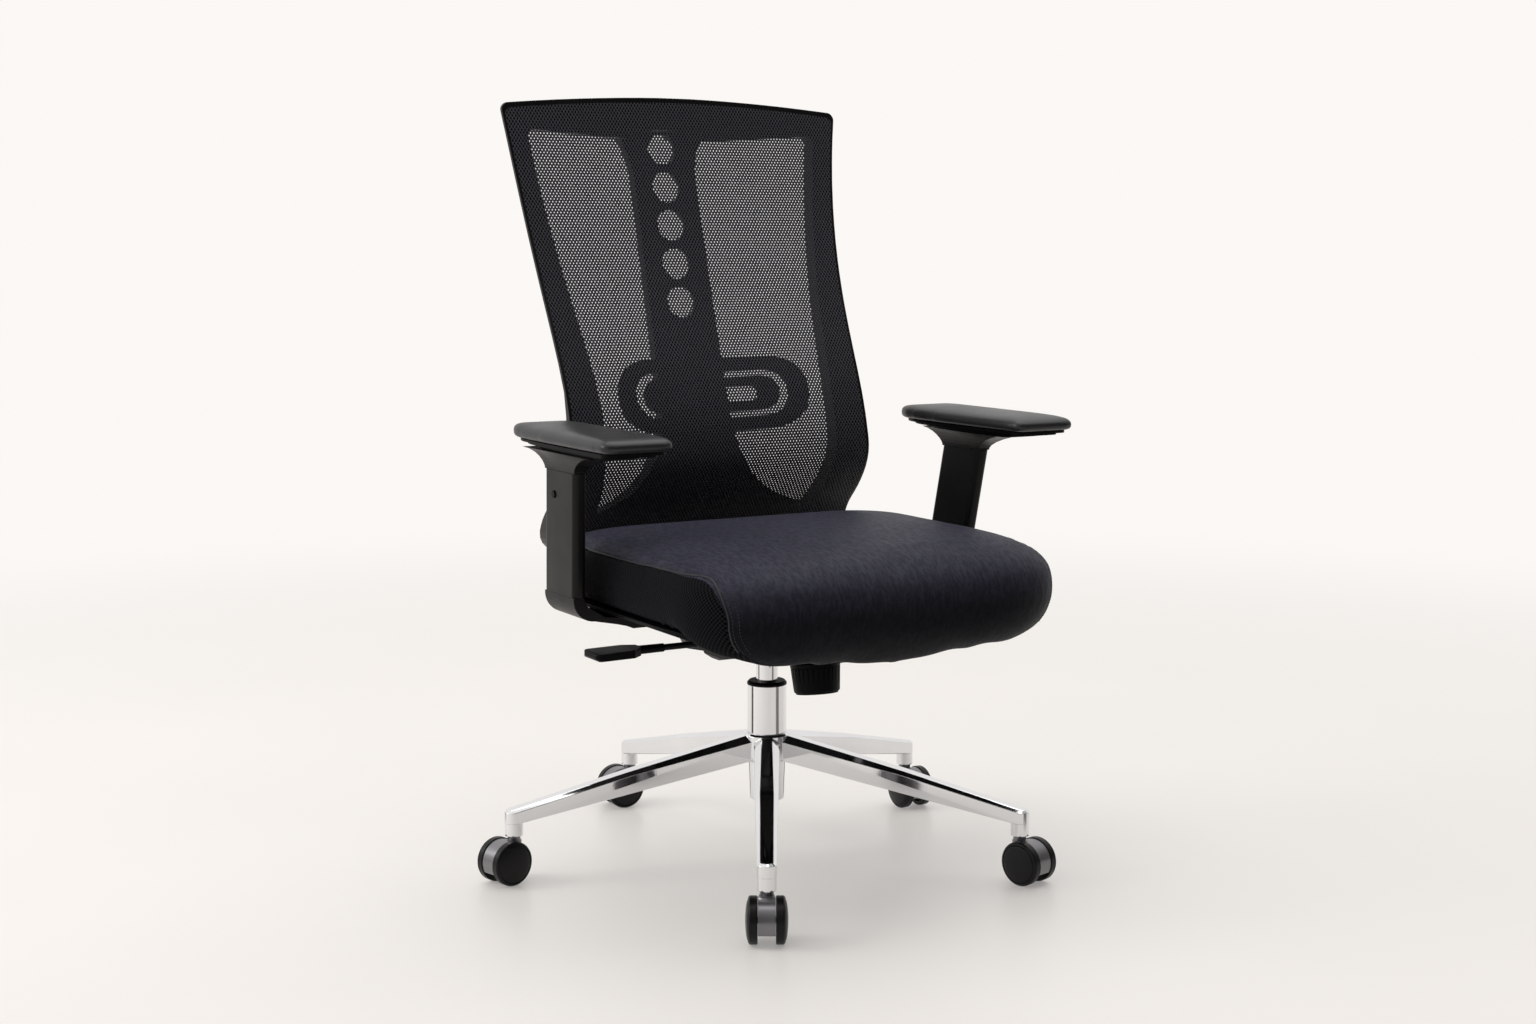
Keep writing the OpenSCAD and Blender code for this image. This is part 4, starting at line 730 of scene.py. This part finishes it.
# %% [markdown]
# ### The side seams
# The seam's line is set out on the side of the cushion, in the plane of the side view, and
# then pressed onto the cover from the side. It runs forward along the upper edge, turns down
# round the front corner and ends near the pan. Drawn flat first, it stays a clean line even
# where the cover bulges.

# %% Seam line in the side view
SEAM_TOP = 0.418
SEAM_SAG = 0.004        # the upper edge dips this far in its middle
SEAM_REAR = 0.148
SEAM_FRONT = -0.300
SEAM_LEAN = 0.004       # the stretch down the front ends this far back
SEAM_BOTTOM = 0.338
SEAM_RADIUS = 0.052
CORNER_FLAT = 0.9       # the corner is a little flatter than a quarter circle
ALONG_TOP, ROUND_CORNER, DOWN_FRONT = 60, 18, 6     # steps in each stretch
top_run = SEAM_REAR - SEAM_FRONT - SEAM_RADIUS
side_view = [Vector((SEAM_REAR - top_run*k/ALONG_TOP,
                     SEAM_TOP - SEAM_SAG*math.sin(math.pi*k/ALONG_TOP)))
             for k in range(ALONG_TOP)]
for k in range(ROUND_CORNER + 1):
    a = math.pi/2*k/ROUND_CORNER
    side_view.append(Vector((SEAM_FRONT + SEAM_RADIUS*(1 - math.sin(a)),
                             SEAM_TOP - SEAM_RADIUS*(1 - math.cos(a))*CORNER_FLAT)))
corner_z = side_view[-1].y
side_view += [Vector((SEAM_FRONT + SEAM_LEAN*k/DOWN_FRONT,
                      corner_z + (SEAM_BOTTOM - corner_z)*k/DOWN_FRONT))
              for k in range(1, DOWN_FRONT + 1)]
print("seam line:", len(side_view), "points")

# %% [markdown]
# To press the line on, a level ray is sent through each of its points from outside, towards
# the chair's middle. Where it meets the cover is the seam.

# %% Seam line pressed onto both sides
BESIDE = 0.45           # from the middle, outside everything


def pressed_on(tree, line, side):
    """The side view's line as points on the cushion, with the surface's direction at each."""
    found = []
    for y, z in line:
        hit, normal, _, _ = tree.ray_cast(Vector((side*BESIDE, y, z)), Vector((-side, 0, 0)))
        if hit is not None:
            found.append((hit, normal))
    return found


cover = surface_of(cushion)
seams = {side: pressed_on(cover, side_view, side) for side in (-1, 1)}
print("seam points:", {side: len(points) for side, points in seams.items()})

# %% [markdown]
# The side panel has its own cloth, and the finish has to know where it begins. So each point
# of the cover learns how far it lies inside the panel's outline, and keeps it as an attribute.
# One subdivision comes first, which makes room for so fine an edge.

# %% Mark the side panels
PANEL_DROP = 0.002      # the panel's edge lies this far under the seam's highest line
PANEL_FLAT = 0.95       # its corner, beside a quarter circle
SIDES_FROM = 0.12       # from the middle, and nothing nearer to it is a side
NO_PANEL = -0.1


def subdivide_once(piece):
    subdivide = piece.modifiers.new("Subdivide", "SUBSURF")
    subdivide.levels = subdivide.render_levels = 1


def inside_panel(y, z):
    """Positive inside the side panel's outline in side view, in metres from its edge."""
    if y < SEAM_FRONT + SEAM_RADIUS and z > SEAM_TOP - SEAM_RADIUS:
        return SEAM_RADIUS - math.hypot(SEAM_FRONT + SEAM_RADIUS - y,
                                        (z - SEAM_TOP + SEAM_RADIUS)/PANEL_FLAT)
    return min(SEAM_TOP - PANEL_DROP - z, y - SEAM_FRONT)


subdivide_once(cushion)
apply_all(cushion)
panel_edge = cushion.data.attributes.new("side_panel", "FLOAT", "POINT")
for mark, vertex in zip(panel_edge.data, cushion.data.vertices):
    is_side = abs(vertex.co.x) > SIDES_FROM
    mark.value = inside_panel(*vertex.co.yz) if is_side else NO_PANEL
print("points on the side panels:", sum(mark.value > 0 for mark in panel_edge.data))

# %% [markdown]
# A sewn seam draws the cover in. Each point near it moves inwards by an amount that fades
# with its distance. A tree of the seam's points finds the nearest one quickly.

# %% Pull the cover in along the seam
PULL_WIDTH = 0.0055
PULL_DEPTH = 0.0016
trees = {}
for side, points in seams.items():
    trees[side] = KDTree(len(points))
    for k, (point, _) in enumerate(points):
        trees[side].insert(point, k)
    trees[side].balance()
normals = [v.normal.copy() for v in cushion.data.vertices]
for vertex, normal in zip(cushion.data.vertices, normals):
    side = 1 if vertex.co.x > 0 else -1
    _, _, gap = trees[side].find(vertex.co)
    pull = max(0.0, 1 - gap/PULL_WIDTH)
    if pull > 0:
        vertex.co -= normal*PULL_DEPTH*pull*pull*(3 - 2*pull)
make_active(cushion)
bpy.ops.object.shade_smooth()
print("cushion:", len(cushion.data.polygons), "faces")

# %% [markdown]
# ### The cover's cloth
# The top is a coated cloth with a fine, slightly stretched grain that runs across the seat.
# Its tone goes with the height: painted light makes it lighter on the seat, and painted shade
# makes it nearly black where it rolls over the front. Two noises of different size, one added
# to the other, give both the creases and the grain.

# %% Cloth of the top
# Between these heights the roll's painted shade turns into the seat's painted light.
PAINTED_SHADE_TO_LIGHT = (0.362, 0.425)       # heights between which the roll's tone becomes the seat's


def apart(f, vector):
    """The three numbers of a vector."""
    made = f.node("ShaderNodeSeparateXYZ")
    f.give(made.inputs[0], vector)
    return made.outputs


def top_cloth(f):
    """Colour, roughness and relief of the top panel."""
    spot = f.place()
    cloud = f.noise(spot, 7, 4)
    creases = f.noise(f.place(scale=(1.0, 0.30, 0.36)), 250, 3, 0.6, 0.5)
    grain = f.noise(f.place(scale=(1.0, 0.45, 0.5)), 760, 2)
    hides = f.math("ADD", f.math("MULTIPLY", creases, 0.7), f.math("MULTIPLY", grain, 0.3))
    worn = f.steps(hides, 0.38, 0.66, 0.0, 0.6)
    # Painted light: the seat's tones are made lighter, as if lit from above.
    seat = f.blend(worn, f.blend(cloud, tone(38, 38, 47), tone(46, 46, 57)), tone(66, 66, 81))
    # Painted shade: the front roll's tones are made nearly black.
    roll = f.blend(worn, f.blend(cloud, tone(9, 9, 12), tone(13, 13, 17)), tone(22, 22, 28))
    # With the height, the colour goes from the roll's painted shade to the seat's painted light.
    painted_light_share = f.steps(apart(f, spot)["Z"], *PAINTED_SHADE_TO_LIGHT)
    return (f.blend(painted_light_share, roll, seat), f.steps(hides, 0.3, 0.7, 0.56, 0.46),
            f.math("MULTIPLY", hides, 0.55))


print("roll becomes seat between", *PAINTED_SHADE_TO_LIGHT, "m")

# %% [markdown]
# The side panels are an open knit that lets the foam breathe, with small pits in slanting
# rows. An image of a knit would need a flat map of the cushion. Two crossing sines in the
# plane of the side view need none, and stay sharp at any size.

# %% Knit of the sides
PIT = (0.0045, 0.0045, 0.0052)      # from one pit to the next: to the side, back and up


def lattice(f, u, v):
    """0 along two sets of crossing lines, 1 in the middle of each diamond between them."""
    waves = [f.math("SINE", f.math("MULTIPLY", f.math(way, u, v), math.pi))
             for way in ("ADD", "SUBTRACT")]
    return f.math("ABSOLUTE", f.math("MULTIPLY", *waves))


def side_knit(f):
    """Colour and relief of the side panels."""
    turns = apart(f, f.place(scale=tuple(1/size for size in PIT)))
    pits = f.steps(lattice(f, turns["Y"], turns["Z"]), 0.10, 0.42)
    return f.blend(pits, tone(30, 30, 33), tone(0, 0, 0)), f.math("MULTIPLY", pits, -1.0)


print("pits", round(PIT[2]*1000, 1), "mm apart upwards")

# %% [markdown]
# One material holds both cloths, and the attribute from the seam step chooses between them.
# Two materials on two sets of faces would leave a jagged line along the faces' edges. What is
# the same all over, such as the faint sheen, is set straight on the shader.


# %% Cushion finish
def between(f, amount, a, b):
    """Number a where amount is 0, number b where it is 1."""
    return f.wired("ShaderNodeMix", 0, {0: amount, 2: a, 3: b}, data_type="FLOAT")


def seat_cover():
    f = Finish("seat_cover")
    inside = f.node("ShaderNodeAttribute", attribute_name="side_panel").outputs["Fac"]
    on_panel = f.steps(inside, -0.0004, 0.0004)
    top, top_rough, top_relief = top_cloth(f)
    side, side_relief = side_knit(f)
    f.set(Base_Color=f.blend(on_panel, top, side),
          Roughness=between(f, on_panel, top_rough, 0.85),
          Normal=f.bump(between(f, on_panel, top_relief, side_relief), 0.55, 0.0012),
          Specular_IOR_Level=0.05, Sheen_Weight=0.02, Sheen_Roughness=0.45,
          Sheen_Tint=(0.75, 0.78, 1.0, 1))
    return f.material


cushion.data.materials.append(seat_cover())
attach(cushion, "seat")
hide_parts("seat_cushion")
print(cushion.name, "has", cushion.data.materials[0].name)

# %% [markdown]
# ### Piping
# A thin corded piping sits in the seam. A curve with a round section follows the seam's
# points more evenly than an extruded face would, and becomes a mesh at once. Piping and
# stitches share one finish of twisted thread.


# %% Tube and thread
def tube(name, points, radius):
    """A closed tube along a line of points, made by sweeping a circle along a curve."""
    curve = bpy.data.curves.new(name, "CURVE")
    curve.dimensions = "3D"
    curve.bevel_depth = radius
    curve.bevel_resolution = 1
    curve.use_fill_caps = True
    spline = curve.splines.new("POLY")
    spline.points.add(len(points) - 1)
    for target, point in zip(spline.points, points):
        target.co = (*point, 1)
    make_active(new_piece(name, curve))
    bpy.ops.object.convert(target="MESH")
    piece = bpy.context.active_object
    bpy.ops.object.shade_smooth()
    return piece


def thread(name, dark, light, rough=0.6):
    f = Finish(name)
    twist = f.noise(f.place(), 2200, 2)
    f.set(Base_Color=f.blend(twist, dark, light), Normal=f.bump(twist, 0.3, 0.0002),
          Roughness=f.steps(twist, 0.2, 0.8, rough - 0.08, rough + 0.08))
    return f.material


PIPING = thread("piping_cloth", tone(14, 14, 18), tone(26, 26, 31))
STITCH = thread("stitch_thread", tone(26, 26, 31), tone(44, 44, 51), 0.5)
print("threads:", PIPING.name, STITCH.name)

# %% [markdown]
# The cord has to lie in the drawn-in seam and not where the cover was before, so the seam's
# line is pressed onto the finished cushion once more.

# %% Piping along each seam
PIPE_RADIUS = 0.0013
PIPE_LIFT = 0.0002
SIDES = ((-1, "Right"), (1, "Left"))
cover = surface_of(cushion)
for side, label in SIDES:
    line = [point + normal*PIPE_LIFT for point, normal in pressed_on(cover, side_view, side)]
    piping = tube("CushionPiping" + label, line, PIPE_RADIUS)
    piping.data.materials.append(PIPING)
    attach(piping, "seat")
    print(piping.name, len(piping.data.polygons), "faces")

# %% [markdown]
# ### Stitches
# Two rows of short stitches follow the piping on the top panel. A row is the seam's line,
# moved sideways in the side view and stepped off at even lengths, as a machine does.


# %% Lines for the stitches
def offset_line(line, away):
    """The side view's line moved sideways by a distance, to its other side if negative."""
    moved = []
    for k, point in enumerate(line):
        ahead = line[min(k + 1, len(line) - 1)] - line[max(k - 1, 0)]
        ahead.normalize()
        moved.append(point + Vector((ahead.y, -ahead.x))*away)
    return moved


def resampled(points, spacing):
    """Points at even steps along a line of (point, normal) pairs, with the direction there."""
    found, carry = [], 0.0
    for (a, na), (b, nb) in zip(points[:-1], points[1:]):
        length = (b - a).length
        while carry < length:
            t = carry/length
            found.append((a.lerp(b, t), na.lerp(nb, t).normalized(), (b - a).normalized()))
            carry += spacing
        carry -= length
    return found


STITCH_STEP = 0.0042
print("stitches on one seam:", len(resampled(seams[1], STITCH_STEP)))

# %% [markdown]
# One stitch is modelled as a short bead with bevelled edges. There are hundreds of them, so it
# has only a few faces.

# %% One stitch
STITCH_LENGTH = 0.0026
STITCH_RADIUS = 0.00045
STITCH_BEVEL = 0.00025


def stitch_shape():
    """One stitch: a short rounded bead."""
    deselect()
    bpy.ops.mesh.primitive_cylinder_add(vertices=6, radius=STITCH_RADIUS, depth=STITCH_LENGTH)
    bead = bpy.context.active_object
    bpy.ops.object.mode_set(mode="EDIT")
    bpy.ops.mesh.select_all(action="SELECT")
    bpy.ops.mesh.bevel(offset=STITCH_BEVEL, segments=1, affect="EDGES")
    bpy.ops.object.mode_set(mode="OBJECT")
    mesh = bead.data
    bpy.data.objects.remove(bead)
    return mesh


STITCH_MESH = stitch_shape()
print("one stitch:", len(STITCH_MESH.polygons), "faces")

# %% [markdown]
# Copies of the stitch are turned along the line, laid on the cover and joined into one mesh
# for each row.

# %% Rows of stitches
STITCH_LIFT = 0.0001
ROWS = (0.0042, 0.0095)             # from the seam


def stitch_row(name, points):
    whole = bmesh.new()
    for place, normal, ahead in resampled(points, STITCH_STEP):
        side_way = ahead.cross(normal).normalized()
        turn = Matrix((side_way, normal, ahead)).transposed().to_4x4()
        part = STITCH_MESH.copy()
        part.transform(Matrix.Translation(place + normal*STITCH_LIFT) @ turn)
        whole.from_mesh(part)
        bpy.data.meshes.remove(part)
    bmesh.ops.recalc_face_normals(whole, faces=whole.faces)
    mesh = bpy.data.meshes.new(name)
    whole.to_mesh(mesh)
    whole.free()
    return new_piece(name, mesh)


for side, label in SIDES:
    for row, away in enumerate(ROWS):
        for sign in (1, -1):        # the way that leads up is the one to the top panel
            line = pressed_on(cover, offset_line(side_view, sign*away), side)
            if line and line[0][0].z > SEAM_TOP:
                break
        stitches = stitch_row(f"CushionStitches{label}{row + 1}", line)
        stitches.data.materials.append(STITCH)
        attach(stitches, "seat")
        print(stitches.name, len(stitches.data.polygons), "faces")

# %% [markdown]
# ## The arm pads
# Self-skinning foam: soft, rounded everywhere, with a satin skin. The pad's solid is remeshed
# and smoothed, which rounds its edges the way a mould with generous radii does. A bevel would
# leave the flats between the edges dead flat, and foam never is. The skin has fine pores
# between slightly coarser wrinkles.

# %% Arm pads
PAD_VOXEL = 0.0022


def pad_skin():
    f = Finish("arm_pad_skin")
    spot = f.place()
    cloud = f.noise(spot, 12, 4)
    pores = f.noise(spot, 1900, 3)
    wrinkle = f.wired("ShaderNodeTexVoronoi", "Distance", {"Vector": spot, "Scale": 900})
    relief = f.math("ADD", f.math("MULTIPLY", pores, 0.5), f.math("MULTIPLY", wrinkle, 0.3))
    f.set(Base_Color=f.blend(cloud, tone(27, 27, 29), tone(34, 34, 36)),
          Roughness=f.steps(cloud, 0.3, 0.7, 0.34, 0.42), Specular_IOR_Level=0.38,
          Normal=f.bump(relief, 0.10, 0.0004))
    return f.material


PAD_SKIN = pad_skin()
for label in ("left", "right"):
    pad = copy_of("arm_pad_" + label, "ArmPad_" + label)
    remesh_and_smooth(pad, PAD_VOXEL, 0.6, 60)
    subdivide_once(pad)
    apply_all(pad)
    bpy.ops.object.shade_smooth()
    pad.data.materials.append(PAD_SKIN)
    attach(pad, "arm_rest_" + label)
    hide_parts("arm_pad_" + label)
    print(pad.name, len(pad.data.polygons), "faces")

# %% [markdown]
# ## The woven back
# One sheet of elastic net is stretched over the frame, and the wall shows through it where
# nothing is behind. Thousands of holes cut into the mesh would make it far too heavy, so the
# sheet stays whole and its finish makes the holes. The sheet is the forward face of the
# solid: what looks to the rear or to the side is deleted.

# %% Back cloth: keep the forward face of the solid
LOOKS_FORWARD = -0.25
net = copy_of("back_mesh", "BackCloth")
work = bmesh.new()
work.from_mesh(net.data)
bmesh.ops.recalc_face_normals(work, faces=work.faces)
rear_faces = [face for face in work.faces if face.normal.y > LOOKS_FORWARD]
bmesh.ops.delete(work, geom=rear_faces, context="FACES")
work.to_mesh(net.data)
work.free()
print("net:", len(net.data.polygons), "faces")

# %% [markdown]
# The back is curved in side view, and a pattern laid on by height alone would be stretched
# where it leans. So the sheet gets a map: across it stands the plain distance to the side,
# and up it the length run along the cloth, summed level by level from the foot.

# %% Distance along the cloth, as a map
DIGITS = 5              # points on one level agree to this many decimals
forward = {}
for vertex in net.data.vertices:
    level = round(vertex.co.z, DIGITS)
    forward[level] = min(forward.get(level, math.inf), vertex.co.y)
run, length, below = {}, 0.0, None
for level in sorted(forward):
    if below is not None:
        length += math.hypot(level - below, forward[level] - forward[below])
    run[level] = length
    below = level
cloth_map = net.data.uv_layers.new(name="cloth")
for loop in net.data.loops:
    co = net.data.vertices[loop.vertex_index].co
    cloth_map.data[loop.index].uv = (co.x, run[round(co.z, DIGITS)])

# %% [markdown]
# The net is knitted from thin strands that cross in diagonals, with an oval hole in each
# diamond. The cloth is drawn tighter, and its holes are smaller, towards the foot, and a
# little noise keeps the holes from being all alike. The strands rise between the holes, and
# their colour is darkened towards each hole's rim as painted shade.

# %% Net finish: strands, holes and a slight sheen
ACROSS = 0.0047         # from one hole to the next in a row
ALONG = 0.0072          # two rows further up
HOLE_RIM = (0.78, 0.85)     # how far into a diamond the strand ends and the hole begins
UNEVEN = 0.16           # the noise's share
TIGHTER = 0.11          # how much the holes lose at the foot
TIGHT_ROWS = (8, 34)    # pairs of rows, counted from the foot


def woven_net():
    f = Finish("woven_net")
    cloth = f.node("ShaderNodeUVMap", uv_map="cloth").outputs[0]
    scale = (1/ACROSS, 1/ALONG, 1)
    rows = apart(f, f.wired("ShaderNodeMapping", 0, {"Vector": cloth, "Scale": scale}))
    holes = lattice(f, rows["X"], rows["Y"])
    noise = f.math("SUBTRACT", f.noise(f.place(), 300, 2), 0.5)
    opening = f.math("ADD", holes, f.math("MULTIPLY", noise, UNEVEN))
    opening = f.math("SUBTRACT", opening, f.steps(rows["Y"], *TIGHT_ROWS, TIGHTER, 0.0))
    # 1 on a strand's ridge and 0 towards a hole: it shapes relief and roughness, and carries the
    # painted shade.
    ridge_and_painted_shade = f.steps(holes, 0.0, 0.55, 1.0, 0.0)
    strands = f.blend(f.noise(f.place(), 6, 3), tone(60, 60, 69), tone(72, 72, 82))
    # Near each hole the strands' colour falls to a dark tone as painted shade.
    f.set(Base_Color=f.blend(ridge_and_painted_shade, tone(7, 7, 9), strands),
          Roughness=f.steps(ridge_and_painted_shade, 0, 1, 0.8, 0.55), Specular_IOR_Level=0.25,
          Alpha=f.steps(opening, *HOLE_RIM, 1.0, 0.0), Normal=f.bump(ridge_and_painted_shade, 0.7, 0.0010),
          Sheen_Weight=0.03, Sheen_Roughness=0.4)
    return f.material


net.data.materials.append(woven_net())
make_active(net)
bpy.ops.object.shade_smooth()
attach(net, "back")
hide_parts("back_mesh")

# %% [markdown]
# ## Sizes
# Dressing a frame must not change its size.
